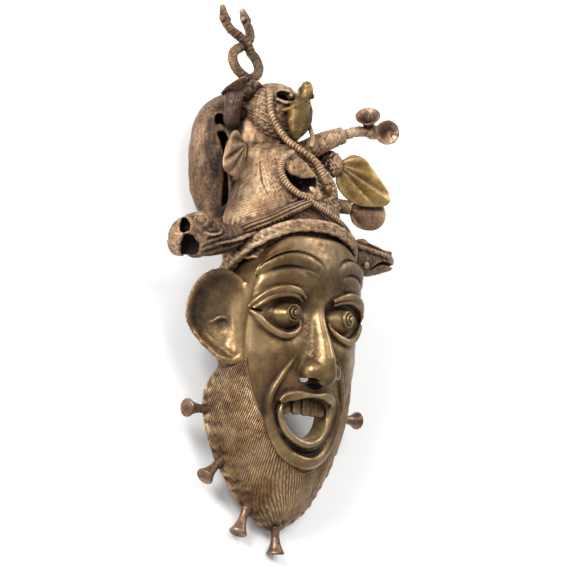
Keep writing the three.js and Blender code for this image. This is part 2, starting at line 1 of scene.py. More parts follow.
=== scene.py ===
import bpy
import numpy as np
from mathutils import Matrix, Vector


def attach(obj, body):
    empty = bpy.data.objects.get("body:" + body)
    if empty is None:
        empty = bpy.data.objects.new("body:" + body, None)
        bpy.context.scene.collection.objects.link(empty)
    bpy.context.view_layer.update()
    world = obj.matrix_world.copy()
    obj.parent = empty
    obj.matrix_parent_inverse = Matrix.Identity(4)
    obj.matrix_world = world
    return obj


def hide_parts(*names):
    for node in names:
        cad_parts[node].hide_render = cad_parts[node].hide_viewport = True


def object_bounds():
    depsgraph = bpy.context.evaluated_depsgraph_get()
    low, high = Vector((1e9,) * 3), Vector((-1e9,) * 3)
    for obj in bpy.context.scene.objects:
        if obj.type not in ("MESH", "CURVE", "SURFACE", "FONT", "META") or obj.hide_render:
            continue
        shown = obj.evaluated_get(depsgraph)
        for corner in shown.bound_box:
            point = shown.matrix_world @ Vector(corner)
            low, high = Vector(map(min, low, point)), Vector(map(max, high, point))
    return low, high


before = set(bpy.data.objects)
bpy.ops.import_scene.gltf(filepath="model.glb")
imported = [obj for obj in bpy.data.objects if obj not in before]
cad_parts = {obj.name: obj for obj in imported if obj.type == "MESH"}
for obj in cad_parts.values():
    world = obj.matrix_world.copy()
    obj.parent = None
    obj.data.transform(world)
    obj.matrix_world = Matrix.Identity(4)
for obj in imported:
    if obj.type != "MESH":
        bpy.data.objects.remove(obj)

import openvdb
from mathutils import Matrix

cadLow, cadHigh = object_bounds()
print("frame loaded", [round(v, 4) for v in cadLow], [round(v, 4) for v in cadHigh])

# All shapes below are in millimetres in the mask's own frame: X across the face, Y up the face, Z out of it.
# placing lays the mask on its back and turns millimetres into metres.
placing = {"lie": 0.19515096668493506, "shift": (2.660991668701172, -18.069124601056245, 46.10851909797218)}
bandWidth = 4  # voxels that a distance field is known for, either side of a surface
sides = (-1, 1)


# rotates about X by the angle it lies at, then shifts
def toRow(points):
    c, s = np.cos(placing["lie"]), np.sin(placing["lie"])
    x, y, z = points[..., 0], points[..., 1], points[..., 2]
    turned = np.stack([x, y * c - z * s, y * s + z * c], -1)
    return (turned + placing["shift"]) / 1000


# ---- small tools

def smoothStep(low, high, x):
    t = np.clip((x - low) / (high - low), 0, 1)
    return t * t * (3 - 2 * t)


# value between the entries of a list, straight from one to the next as t goes 0 to 1
def blend(values, t):
    return np.interp(np.asarray(t) * (len(values) - 1), np.arange(len(values)), values)


# smooth noise: a sum of sine waves in fixed directions, about -1 to 1, with the given wavelength
def waves(points, length, seed, count=7):
    rng = np.random.default_rng(seed)
    ways = rng.normal(size=(count, 3))
    ways /= np.linalg.norm(ways, axis=1)[:, None]
    reach = 2 * np.pi / (length * rng.uniform(0.7, 1.5, count))
    phase = rng.uniform(0, 2 * np.pi, count)
    return np.sin(points @ (ways * reach[:, None]).T + phase).sum(-1) / count * 1.6


# point on a centripetal Catmull-Rom curve through the points, for each t from 0 to 1
def curvePoint(points, t):
    p = np.asarray(points, float)
    p = np.vstack([2 * p[0] - p[1], p, 2 * p[-1] - p[-2]])
    at = np.clip(np.asarray(t, float), 0, 1) * (len(p) - 3)
    k = np.minimum(at.astype(int), len(p) - 4)
    w = (at - k)[:, None]
    a, b, c, d = p[k], p[k + 1], p[k + 2], p[k + 3]
    d0, d1, d2 = (np.maximum(np.sqrt(np.linalg.norm(v - u, axis=1)), 1e-2)[:, None] for u, v in ((a, b), (b, c), (c, d)))
    m1 = ((b - a) / d0 - (c - a) / (d0 + d1) + (c - b) / d1) * d1
    m2 = ((c - b) / d1 - (d - b) / (d1 + d2) + (d - c) / d2) * d1
    return b + m1 * w + (3 * (c - b) - 2 * m1 - m2) * w ** 2 + (2 * (b - c) + m1 + m2) * w ** 3


# faces of a grid whose rows are rings: each quad joins a ring to the next, and the last column to the first
def ringFaces(rows, columns, start=0):
    r = np.arange(rows - 1)[:, None] * columns + start
    c = np.arange(columns)[None]
    n = (c + 1) % columns
    return np.stack([r + c, r + columns + c, r + columns + n, r + n], -1).reshape(-1, 4)


# a closed mesh from rings of points: the first and last ring are shut to their middle, and it is turned outward
def closedRings(grid):
    rows, columns = grid.shape[:2]
    caps = np.stack([grid[0].mean(0), grid[-1].mean(0)])
    points = np.concatenate([grid.reshape(-1, 3), caps])
    quads = ringFaces(rows, columns)
    c = np.arange(columns)
    n = (c + 1) % columns
    last = (rows - 1) * columns
    first = np.stack([n, c, np.full(columns, rows * columns)], -1)
    end = np.stack([last + c, last + n, np.full(columns, rows * columns + 1)], -1)
    tris = np.concatenate([quads[:, [0, 1, 2]], quads[:, [0, 2, 3]], first[:, [1, 0, 2]][:, ::-1], end[:, ::-1]])
    p = points[tris]
    volume = np.einsum("ij,ij->i", p[:, 0], np.cross(p[:, 1], p[:, 2])).sum()
    return points, tris if volume > 0 else tris[:, ::-1]


# a body carried along a path: at each t an ellipse, size(t) wide and tall, square to the path. shape(t, turn)
# swells the ellipse, and round > 0 closes the ends as domes that long.
def sweep(points, size, around=28, step=0.8, up=(0, 0, 1), shape=None, round_=0.0):
    dense = curvePoint(points, np.linspace(0, 1, 200))
    length = np.linalg.norm(np.diff(dense, axis=0), axis=1).sum()
    count = max(int(length / step), 8)
    t = np.linspace(0, 1, count + 1)
    centre = curvePoint(points, t)
    ahead = np.gradient(centre, axis=0)
    ahead /= np.linalg.norm(ahead, axis=1)[:, None]
    side = np.cross(np.asarray(up, float), ahead)
    side /= np.linalg.norm(side, axis=1)[:, None]
    top = np.cross(ahead, side)
    wide, tall = (np.asarray(v, float) * np.ones_like(t) for v in size(t))
    if round_:
        gone = np.clip(np.minimum(t, 1 - t) * length / round_, 0, 1)
        shrink = np.sqrt(np.maximum(1 - (1 - gone) ** 2, 1e-4))
        wide, tall = wide * shrink, tall * shrink
    turn = np.linspace(0, 2 * np.pi, around, endpoint=False)
    swell = shape(t[:, None] * length, turn[None]) if shape else np.ones((len(t), around))
    grid = (centre[:, None] + side[:, None] * (wide[:, None] * np.cos(turn) * swell)[..., None]
            + top[:, None] * (tall[:, None] * np.sin(turn) * swell)[..., None])
    return closedRings(grid)


# a profile of radius and height turned about an axis from a place toward a direction
def turned(profile, place, toward, around=40, fine=6):
    profile = np.asarray(profile, float)
    t = np.linspace(0, len(profile) - 1, (len(profile) - 1) * fine + 1)
    radius = np.interp(t, np.arange(len(profile)), profile[:, 0])
    height = np.interp(t, np.arange(len(profile)), profile[:, 1])
    axis = np.asarray(toward, float) / np.linalg.norm(toward)
    first = np.cross(axis, (0.31, 0.2, 0.93))
    first /= np.linalg.norm(first)
    second = np.cross(axis, first)
    turn = np.linspace(0, 2 * np.pi, around, endpoint=False)
    ring = np.cos(turn)[:, None] * first + np.sin(turn)[:, None] * second
    grid = np.asarray(place, float) + height[:, None, None] * axis + np.maximum(radius, 1e-3)[:, None, None] * ring
    return closedRings(grid)


# an ellipsoid: rings of a sphere scaled three ways
def ball(centre, wide, tall=None, deep=None, step=1.0):
    half = np.array([wide, tall or wide, deep or wide], float)
    rows = max(int(np.pi * half.max() / step), 10)
    v = np.linspace(0, np.pi, rows + 1)[1:-1]
    u = np.linspace(0, 2 * np.pi, 2 * rows, endpoint=False)
    grid = np.stack([np.sin(v)[:, None] * np.cos(u), np.cos(v)[:, None] * np.ones_like(u), np.sin(v)[:, None] * np.sin(u)], -1)
    return closedRings(grid * half + np.asarray(centre, float))


# a loft of ellipses stacked up Y: each row is y, half width, front and back, joined by a smooth curve
def stack(rows, around=160, step=1.2, power=2.0):
    rows = np.asarray(rows, float)
    t = np.linspace(0, 1, int((rows[-1, 0] - rows[0, 0]) / step))
    y, wide, front, back = (curvePoint(np.stack([rows[:, 0], rows[:, k], 0 * rows[:, k]], 1), t)[:, 1 if k else 0] for k in range(4))
    u = np.linspace(0, 2 * np.pi, around, endpoint=False)
    c, s = np.cos(u), np.sin(u)
    grid = np.stack([wide[:, None] * c, y[:, None] * np.ones_like(u), ((front + back) / 2)[:, None] + ((front - back) / 2)[:, None] * s], -1)
    return closedRings(grid)


# ---- distance fields: every closed mesh is stamped into a block of voxels, added or cut with a soft seam

def newField(low, high, voxel):
    start = np.floor(np.array(low) / voxel).astype(int)
    size = np.ceil(np.array(high) / voxel).astype(int) - start
    return {"start": start, "voxel": voxel, "far": bandWidth * voxel, "values": np.full(size, bandWidth * voxel, np.float32)}


# smallest of two distances, rounded over where they come within soft of each other
def softMin(a, b, soft, far):
    if not soft:
        return np.minimum(a, b)
    h = np.clip(0.5 + 0.5 * (b - a) / soft, 0, 1)
    mixed = b + (a - b) * h - soft * h * (1 - h)
    return np.where(np.minimum(a, b) > 0.97 * far, np.minimum(a, b), mixed).astype(np.float32)


def stamp(field, meshes, cut=False, soft=0.8):
    voxel, values, start = field["voxel"], field["values"], field["start"]
    ruler = openvdb.createLinearTransform(voxelSize=voxel)
    for points, tris in (meshes if isinstance(meshes, list) else [meshes]):
        grid = openvdb.FloatGrid.createLevelSetFromPolygons(
            points.astype(np.float32), triangles=tris.astype(np.uint32), transform=ruler, halfWidth=float(bandWidth))
        low = np.maximum(np.floor(points.min(0) / voxel).astype(int) - bandWidth, start)
        high = np.minimum(np.ceil(points.max(0) / voxel).astype(int) + bandWidth + 1, start + values.shape)
        part = np.empty(high - low, np.float32)
        grid.copyToArray(part, ijk=tuple(int(v) for v in low))
        where = tuple(slice(int(a), int(b)) for a, b in zip(low - start, high - start))
        if cut:
            values[where] = -softMin(-values[where], part, soft, field["far"])
        else:
            values[where] = softMin(values[where], part, soft, field["far"])


# a blur of the distances, which rounds every sharp edge
def soften(field, reach):
    s = reach / field["voxel"]
    steps = np.arange(-int(2.5 * s), int(2.5 * s) + 1)
    share = np.exp(-0.5 * (steps / s) ** 2)
    share /= share.sum()
    for axis in range(3):
        field["values"] = sum(np.float32(w) * np.roll(field["values"], int(k), axis) for k, w in zip(steps, share))


# the zero surface of a field as points and triangles
def surfaceOf(field):
    grid = openvdb.FloatGrid(field["far"])
    grid.copyFromArray(field["values"], ijk=tuple(int(v) for v in field["start"]))
    grid.transform = openvdb.createLinearTransform(voxelSize=field["voxel"])
    points, tris, quads = grid.convertToPolygons(isovalue=0.0, adaptivity=0.0)
    quads = quads.astype(np.int64)
    return points.astype(float), np.concatenate([tris.astype(np.int64), quads[:, [0, 1, 2]], quads[:, [0, 2, 3]]])


# unit normals at the points: the sum of the face normals round each
def normalsOf(points, tris):
    p = points[tris]
    face = np.cross(p[:, 1] - p[:, 0], p[:, 2] - p[:, 0])
    total = np.zeros_like(points)
    for k in range(3):
        for axis in range(3):
            total[:, axis] += np.bincount(tris[:, k], face[:, axis], len(points))
    return total / np.maximum(np.linalg.norm(total, axis=1), 1e-9)[:, None]


# moves every point along its normal by the relief at that point
def raised(mesh, relief):
    points, tris = mesh
    normals = normalsOf(points, tris)
    return points + normals * relief(points, normals)[:, None], tris


# rows of short slanting strokes that lean the other way in every second row; u runs along a row, v across the rows
def herringbone(u, v, pitch, row, lean=1.0):
    count = np.floor(v / row)
    w = v / row - count
    phase = u / pitch + np.where(count % 2 > 0, -1, 1) * lean * (w - 0.5)
    groove = np.exp(-((np.abs(phase - np.round(phase)) * 2) / 0.45) ** 2)
    return -groove * smoothStep(0, 0.15, w) * smoothStep(0, 0.15, 1 - w) - 0.6 * np.exp(-(np.minimum(w, 1 - w) * row / 0.5) ** 2)


# distance in a plane from each a, b to a curve through the line's points
def lineDistance(a, b, line, count=50):
    dense = curvePoint(np.array([(u, v, 0) for u, v in line], float), np.linspace(0, 1, count))
    nearest = np.full(a.shape, 1e9)
    for u, v, _ in dense:
        nearest = np.minimum(nearest, np.hypot(a - u, b - v))
    return nearest


# a section nearer a square: the radius that a power of 4 gives in each direction
def squared(along, turn):
    return (np.abs(np.cos(turn)) ** 4 + np.abs(np.sin(turn)) ** 4) ** -0.25 * 0.94 + 0 * along


# ---- the face

face = {
    "middle": -60, "half": 61, "up": 95, "down": 92, "upPower": 3.5, "downPower": 1.5,
    "top": 46, "side": 28, "chin": 31, "brow": 47, "wall": 4, "rimBack": -3,
    "swells": [(0, 2, 48, 34, 13), (33, -58, 15, 14, 4), (-33, -58, 15, 14, 4),
               (27, -28, 18, 13, -11), (-27, -28, 18, 13, -11), (13, -22, 6, 9, -5), (-13, -22, 6, 9, -5), (0, -140, 20, 12, 2)],
    "rounding": 1.7,
}
beard = {
    "half": [(-62, -68), (-77, -90), (-77, -112), (-67, -137), (-51, -161), (-29, -184)], "tip": (0, -196), "swell": 4,
}
eye = {"x": 29.5, "y": -29.5, "z": 37.5, "radius": 17.5, "tall": 13.5, "aim": 0.2, "pupil": (28.9, -28.9, 45)}
ear = {"x": 56, "y": -32, "z": 28, "wide": 27, "tall": 38, "sweep": 0.67, "dish": 7, "thick": 4, "lip": 1.5}
nose = {"x": 10, "y": -73, "z": 51, "wide": 8.5, "tall": 9, "deep": 10}
mouth = {"middle": -5, "half": 24, "top": -93, "bottom": -125, "corner": -103, "tube": (25, 40), "tubeWall": 3}
tooth = {"wide": 9.4, "tall": 15, "thick": 5, "count": 5, "y": -99, "recess": 4.5}
bell = {"neck": 3.3, "root": 4.6, "mouth": 7.2, "length": 19,
        "places": [(-77, -103, 180), (77, -103, 0), (-62, -144, 217.8), (-33, -181, 244.7), (0, -195, 270)]}


# distance from the face's middle to the jaw line: a superellipse, with its own power above and below
def jawReach(turn):
    upward = np.sin(turn) > 0
    reach = np.where(upward, face["up"], face["down"])
    power = np.where(upward, face["upPower"], face["downPower"])
    across = np.abs(np.cos(turn) / face["half"]) ** power
    return (across + np.abs(np.sin(turn) / reach) ** power) ** (-1 / power)


# the face's height over x, y: a dome from the jaw line's height to the top, plus soft swells
def heightAt(x, y):
    x, y = np.asarray(x, float), np.asarray(y, float)
    turn = np.arctan2(y - face["middle"], x)
    share = np.minimum(np.hypot(x, y - face["middle"]) / jawReach(turn), 1)
    rise = np.where(np.sin(turn) > 0, face["brow"], face["chin"]) - face["side"]
    edge = face["side"] + rise * np.sin(turn) ** 2
    power = 0.5 + 0.5 * np.clip(-1.3 * np.sin(turn), 0, 1)
    height = edge + (face["top"] - edge) * (1 - share ** 2) ** power
    for cx, cy, wide, tall, rise in face["swells"]:
        height = height + rise * np.exp(-((x - cx) / wide) ** 2 - ((y - cy) / tall) ** 2)
    return height


def onFace(flat, lift=0.0, side=1):
    flat = np.asarray(flat, float)
    x = side * flat[:, 0]
    return np.stack([x, flat[:, 1], heightAt(x, flat[:, 1]) + lift], 1)


rimLine = np.array([(x, y, 0) for x, y in [*beard["half"], beard["tip"], *[(-x, y) for x, y in beard["half"][::-1]]]], float)


# the shell's outer face: share 0 in the middle, 1 at the jaw line, 2 at the rim, with a swell in the beard
def shellPoint(turn, share):
    reach = jawReach(turn)
    inner = np.minimum(share, 1)
    x, y = np.cos(turn) * reach * inner, face["middle"] + np.sin(turn) * reach * inner
    spot = np.stack([x, y, heightAt(x, y)], -1)
    outer = np.clip(share - 1, 0, 1)
    lower = turn >= np.pi
    rim = curvePoint(rimLine, np.clip(turn / np.pi - 1, 0, 1).ravel()).reshape(turn.shape + (3,))
    upRim = np.stack([np.cos(turn) * reach * 1.02, (face["middle"] + np.sin(turn) * reach) * 1.02, np.full_like(turn, face["rimBack"])], -1)
    rim = np.where(lower[..., None], rim, upRim)
    spot = spot + (rim - spot) * outer[..., None]
    spot[..., 2] += np.where(lower, beard["swell"] * np.sin(np.pi * outer), 0)
    return spot


# unit normal of that face, from its slopes along share and turn
def shellNormal(turn, share):
    near = np.clip(share, 0.01, 1.99)
    ahead = shellPoint(turn, near + 0.01) - shellPoint(turn, near - 0.01)
    around = shellPoint(turn + 0.01, near) - shellPoint(turn - 0.01, near)
    normal = np.cross(ahead, around)
    return normal / np.maximum(np.linalg.norm(normal, axis=-1), 1e-9)[..., None]


# the face as a block down to a level, sunk by a depth under the outer face; lower says how deep the beard sinks
def faceBlock(depth, level, sink=0.0):
    share = np.concatenate([np.linspace(0.01, 1, 70), np.linspace(1.02, 2, 50)])[:, None]
    turn = np.linspace(0, 2 * np.pi, 360, endpoint=False)[None]
    turn, share = np.broadcast_arrays(turn, share)
    deep = depth + sink * smoothStep(1.0, 1.06, share)
    grid = shellPoint(turn, share) - shellNormal(turn, share) * deep[..., None]
    foot = grid[-1:].copy()
    foot[..., 2] = level
    return closedRings(np.concatenate([grid, foot]))


def fade(power, edge=0.02):
    return lambda t: np.sin(np.pi * np.clip(t, edge, 1 - edge)) ** power


def acrossFace(half):
    return [*half, *[(-x, y) for x, y in half[:-1][::-1]]]


# the far brow starts further out than the near one: x is drawn toward the temple by its share of the way there
def drawnOut(line, side):
    start = 14 if side > 0 else 0
    return [(64 - (64 - x) * (64 - start) / 64, y) for x, y in line]


# a brow is a smooth crescent between two chased lines, over a broader swelling above the eye
def browParts(side):
    arch = [(60, -1), (56.5, 3), (50.4, 7.1), (43.2, 10.5), (34.8, 12.5), (26, 13), (17.7, 12), (9, 9.2), (3, 5)]
    orbit = [(59, -11), (50, -5), (41, -1), (31, 0), (21, -1.5), (11, -5)]
    swell = fade(0.75, 0.02)
    return [sweep(onFace(drawnOut(arch, side), -1.2, side), lambda t: (7.2 * swell(t), 3.6 * swell(t))),
            sweep(onFace(orbit, -2.0, side), lambda t: (7.5 * swell(t), 3.8 * swell(t)))]


def browLines(side):
    above = [(58.5, 4), (56, 7.6), (52.6, 10.6), (46.1, 14.5), (37, 17.8), (27.3, 19.3), (18.9, 18.6), (10.5, 15.9), (3.5, 11), (1, 4)]
    below = [(57.5, -1.4), (54, 1.1), (47.8, 4.1), (40.4, 6.4), (32.7, 7.2), (24.7, 6.8), (16.5, 5.4), (7.5, 2.5), (1, 0)]
    thin = fade(0.6, 0.03)
    return [sweep(onFace(drawnOut(above, side), 0.3, side), lambda t: (0.9 * thin(t), 2.0 * thin(t)), around=16),
            sweep(onFace(drawnOut(below, side), 0.9, side), lambda t: (1.1 * thin(t), 1.9 * thin(t)), around=16)]


# lids are broad ledges with square edges, the upper one in two steps, round a slit that runs out to a sharp corner
def lidParts(side):
    upper = [(62.8, -25.8), (58.9, -20.4), (51.3, -14.2), (43, -11.3), (33.9, -10.3), (25, -11.8), (15.9, -15.6)]
    inner = [(60, -26.3), (56, -22.5), (49.5, -18), (42, -15.4), (33.5, -14.4), (26, -15.5), (18, -18.5)]
    lower = [(61.5, -27.6), (57.7, -31.6), (51.6, -38.5), (44.2, -43.6), (35.4, -46.4), (26.3, -44.2), (19.1, -39.2), (16, -33)]
    lid = fade(0.4, 0.06)
    return [sweep(onFace(upper, 0.6, side), lambda t: (3.4 * lid(t), 4.8 * lid(t)), shape=squared),
            sweep(onFace(inner, 1.5, side), lambda t: (2.4 * lid(t), 5.0 * lid(t)), shape=squared),
            sweep(onFace(lower, 1.2, side), lambda t: (3.0 * lid(t), 4.8 * lid(t)), shape=squared)]


def lidSlit(side):
    return sweep(onFace([(68, -26.2), (60, -27), (53, -28)], 1, side), lambda t: (0.7 + 0.5 * t, 2.6), around=20)


# an eyeball drawn out to a cone, and a pupil of three stepped discs at its tip
def eyeBall(side):
    r = eye["radius"]
    profile = [(0, -10), (r * 0.98, -8), (r, -2), (r * 0.97, 0.5), (r * 0.86, 4.5), (r * 0.745, 7.5), (r * 0.62, 10), (r * 0.48, 12.5), (r * 0.38, 14.5), (0, 14.8)]
    points, tris = turned(profile, (side * eye["x"], eye["y"], eye["z"]), (side * eye["aim"] * 0.5, 0, 1), around=72, fine=4)
    points[:, 1] = eye["y"] + (points[:, 1] - eye["y"]) * eye["tall"] / r
    return [(points, tris), ball((side * 37, -28.6, 32), 16, 9.5, 12)]


def buildPupils():
    profile = [(0, 4), (6.9, 4), (6.9, 8.1), (6.6, 8.6), (6.0, 8.9), (5.5, 8.8), (5.1, 8.2), (4.7, 8.1), (4.5, 8.5), (4.5, 10.0), (4.2, 10.5), (3.7, 10.8),
               (3.3, 10.6), (3.0, 10.0), (2.7, 9.9), (2.5, 10.3), (2.5, 11.7), (2.2, 12.3), (1.5, 12.7), (0.5, 12.8), (0, 12.6)]
    x, y, z = eye["pupil"]
    return joined([turned(profile, (s * x, y, z), (s * eye["aim"], 0, 1), around=64, fine=4) for s in sides])


# the nose is one ridge on a lower, broader one that eases it into the cheeks, with a ball at each wing
def noseParts():
    spine = [(0, -8, 48), (0, -30, 44), (0, -50, 45), (0, -66, 48), (0, -78, 50), (0, -85, 49)]
    foot = [(0, -10, 44), (0, -30, 40), (0, -50, 40), (0, -66, 42), (0, -78, 43)]
    ridge = sweep(spine, lambda t: (blend([4, 6.5, 8.5, 11, 11.5, 6], t), blend([6, 11, 16, 17.5, 15, 7], t)), around=48, round_=5)
    skirt = sweep(foot, lambda t: (blend([8, 12, 15, 18, 16], t), blend([5, 9, 11, 11, 8], t)), around=48, round_=8)
    return [skirt, ridge, *[ball((s * nose["x"], nose["y"], nose["z"]), nose["wide"], nose["tall"], nose["deep"]) for s in sides]]


# an ear is a shallow dish with a rolled lip, swept back from the temple
def earDish(side):
    turn = np.linspace(0, 2 * np.pi, 120, endpoint=False)[None]
    v = np.linspace(0.01, 0.99, 90)[:, None]
    front, share = v <= 0.5, np.sin(np.pi * v)
    low = np.maximum(0, -np.sin(turn)) ** 1.5
    wide = share * (ear["wide"] * (1 - 0.35 * low) * np.cos(turn) - 9 * low) + ear["wide"] - 5
    tall = ear["tall"] * share * np.sin(turn)
    dip = -ear["dish"] * np.cos(np.pi * share / 2)
    roll = ear["lip"] * np.exp(-((share - 0.88) / 0.1) ** 2)
    depth = np.where(front, dip + roll, dip - ear["thick"] * (1 - share ** 4)) + 0 * turn
    out = np.array([side * np.cos(ear["sweep"]), 0, -np.sin(ear["sweep"])])
    facing = np.array([side * np.sin(ear["sweep"]), 0, np.cos(ear["sweep"])])
    grid = np.array([side * ear["x"], ear["y"], ear["z"]]) + wide[..., None] * out + depth[..., None] * facing
    grid[..., 1] += tall
    return closedRings(grid)


# a sharp fold from the nose round the mouth, a broad chin, two lips, the upper one in two steps
def muzzleParts():
    fold = acrossFace([(22.7, -61), (27, -66.5), (30.9, -73), (34.3, -79.5), (37.8, -86.8), (39.5, -94), (39.4, -101.9), (35.8, -109.7), (29.5, -119), (24, -125)])
    broad = acrossFace([(30, -86), (36, -98), (36.5, -110), (30, -124), (19, -136), (8, -141), (0, -142)])
    lower = acrossFace([(26.5, -98), (27.5, -105), (24.5, -113.5), (19, -120.5), (12, -126), (5, -128.5), (0, -129.2)])
    upper = acrossFace([(29.5, -97), (26, -93), (20, -91.5), (13, -91.5), (6, -92.5), (0, -93)])
    edge = acrossFace([(27, -98), (24, -96), (18, -95), (12, -95), (6, -95.8), (0, -96)])
    thin, lip = fade(0.6, 0.04), fade(0.5)
    half = len(fold) // 2
    sheets = [sweep(onFace(broad, -1.5), lambda t: (6.5 * lip(t), 6.0 * lip(t))),
              sweep(onFace(lower, 1.5) + (mouth["middle"], 0, 0), lambda t: (3.4 * lip(t), 5.0 * lip(t))),
              sweep(onFace(upper, 2.2) + (mouth["middle"], 0, 0), lambda t: (3.8 * fade(0.3, 0.05)(t), 5.6 * fade(0.3, 0.05)(t)), shape=squared),
              sweep(onFace(edge, 3.4) + (mouth["middle"], 0, 0), lambda t: (2.2 * lip(t), 5.0 * lip(t)))]
    return sheets + [sweep(onFace(part, -0.4), lambda t: (3.0 * thin(t), 3.8 * thin(t))) for part in (fold[:half], fold[half:])]


# hollows that are cut between them: the trough under the lower lip and the recess under the nose
def muzzleCuts():
    trough = acrossFace([(24, -124.5), (18, -130), (11, -134), (4, -136), (0, -136.3)])
    recess = acrossFace([(19, -78.5), (12, -81.5), (5, -83.5), (0, -84)])
    deep = fade(0.7, 0.03)
    return [sweep(onFace(trough, 3.5), lambda t: (2.9 * deep(t), 7.0 * deep(t))), sweep(onFace(recess, 5), lambda t: (2.6 * deep(t), 8.0 * deep(t)))]


# a tooth is a box with rounded corners: a superellipse carried down
def teethParts():
    made = []
    for k in range(tooth["count"]):
        x = (k - (tooth["count"] - 1) / 2) * tooth["wide"]
        z = heightAt(x, tooth["y"]) - tooth["recess"]
        turn = np.linspace(0, 2 * np.pi, 32, endpoint=False)
        c, s = np.cos(turn), np.sin(turn)
        ring = np.stack([np.sign(c) * np.abs(c) ** 0.5 * (tooth["wide"] / 2 - 0.2), 0 * c, np.sign(s) * np.abs(s) ** 0.5 * tooth["thick"] / 2], -1)
        y = np.linspace(-1, 1, 17)
        shrink = (1 - np.abs(y) ** 8 * 0.5)[:, None, None]
        grid = ring * shrink + np.stack([0 * y, y * tooth["tall"] / 2, 0 * y], -1)[:, None] + (x + mouth["middle"], tooth["y"] - 0.03 * x, z)
        made.append(closedRings(grid))
    return made


# the mouth's outline is two half ellipses, carried straight through the wall; a wider one makes a short tube behind the lips
def mouthBlock(grow, low, high):
    turn = np.linspace(0, 2 * np.pi, 96, endpoint=False)
    rise = np.where(np.sin(turn) > 0, mouth["top"] - mouth["corner"], mouth["corner"] - mouth["bottom"]) + grow
    ring = np.stack([mouth["middle"] + (mouth["half"] + grow) * np.cos(turn), mouth["corner"] + rise * np.sin(turn), 0 * turn], -1)
    return closedRings(ring + np.array([0, 0, 1.0]) * np.linspace(low, high, 40)[:, None, None])


# a nostril is a flat oval through the wall
def nostrilCut(side):
    line = [(side * 14, -82, 62), (side * 12, -80.5, 52), (side * 9, -77, 38), (side * 6, -73, 20)]
    return sweep(line, lambda t: (2.6 + 0 * t, 5.2), around=32, up=(1, 0, 0))


# a ridge wanders over the ear's dish, and its lobe is rough
def earRidge(side):
    line = [(78, -37.5, 2), (73, -35, 6), (69, -32, 9.5), (64.5, -32.5, 12.5), (61, -40, 15), (57, -51, 17)]
    return sweep([(side * x, y, z) for x, y, z in line], lambda t: (1.8 * fade(0.6)(t), 1.5 * fade(0.6)(t)), round_=2)


def faceRelief(points, normals):
    ax = np.abs(points[:, 0])
    lobe = smoothStep(60, 68, ax) * smoothStep(-36, -42, points[:, 1]) * smoothStep(-80, -74, points[:, 1])
    cheek = smoothStep(12, 20, ax) * smoothStep(60, 50, ax)
    rough = 0.35 * waves(points, 6, 31) + 0.16 * waves(points, 3, 32)
    bridge = np.exp(-((ax - 11) / 3) ** 2) * smoothStep(-24, -32, points[:, 1]) * smoothStep(-74, -62, points[:, 1])
    above = smoothStep(-82, -86, points[:, 1]) * smoothStep(-95, -90, points[:, 1]) * smoothStep(34, 26, ax)
    return lobe * rough + 0.1 * waves(points, 14, 33) * cheek + (0.3 * bridge + 0.25 * above) * waves(points, 2.6, 34)


def buildFace():
    field = newField((-108, -206, -12), (108, 78, 84), 0.8)
    stamp(field, faceBlock(0, face["rimBack"], 1.3))
    soften(field, face["rounding"])
    stamp(field, [p for s in sides for p in browParts(s)], soft=1.6)
    stamp(field, noseParts(), soft=2.6)
    stamp(field, [p for s in sides for p in browLines(s)], cut=True, soft=0.8)
    stamp(field, [p for s in sides for p in eyeBall(s)], soft=0.6)
    stamp(field, [p for s in sides for p in lidParts(s)], soft=0.4)
    stamp(field, lidSlit(-1), cut=True, soft=0.4)
    stamp(field, [earDish(s) for s in sides], soft=3.0)
    stamp(field, [earRidge(s) for s in sides], soft=1.2)
    stamp(field, faceBlock(face["wall"], -100), cut=True)
    stamp(field, stack(headdress["columnHollow"]), cut=True)
    stamp(field, mouthBlock(mouth["tubeWall"], *mouth["tube"]), soft=1.0)
    stamp(field, muzzleParts(), soft=1.4)
    stamp(field, [mouthBlock(0, -20, 70), *muzzleCuts(), *[nostrilCut(s) for s in sides]], cut=True, soft=0.8)
    stamp(field, teethParts(), soft=0.3)
    return raised(surfaceOf(field), faceRelief)


# ---- the beard: a thick strip from the jaw line to the rim, with hair that runs down and a little outward
hair = {"pitch": 2.35, "deep": 0.68, "stroke": 12, "lean": 0.53, "seed": 4}


# strands are rounded ridges across q, broken into strokes along y, each with its own start
def hairRelief(points):
    ax, y, z = np.abs(points[..., 0]), points[..., 1], points[..., 2]
    lean = 0.1 + (hair["lean"] - 0.1) * smoothStep(4, 45, ax)
    q = (z - ax - lean * (y + 120)) / hair["pitch"] + 0.35 * waves(points, 24, 5) + 0.1 * waves(points, 8, 7)
    row = np.floor(q).astype(int)
    starts = np.random.default_rng(hair["seed"]).uniform(0, 1, 512)[row % 512]
    ridge = 1 - np.abs(2 * (q - row) - 1) ** 1.4
    along = y / hair["stroke"] + starts
    tip = np.abs(2 * (along - np.floor(along)) - 1)
    return ridge * (0.5 + 0.5 * smoothStep(1, 0.55, tip)) - 0.55


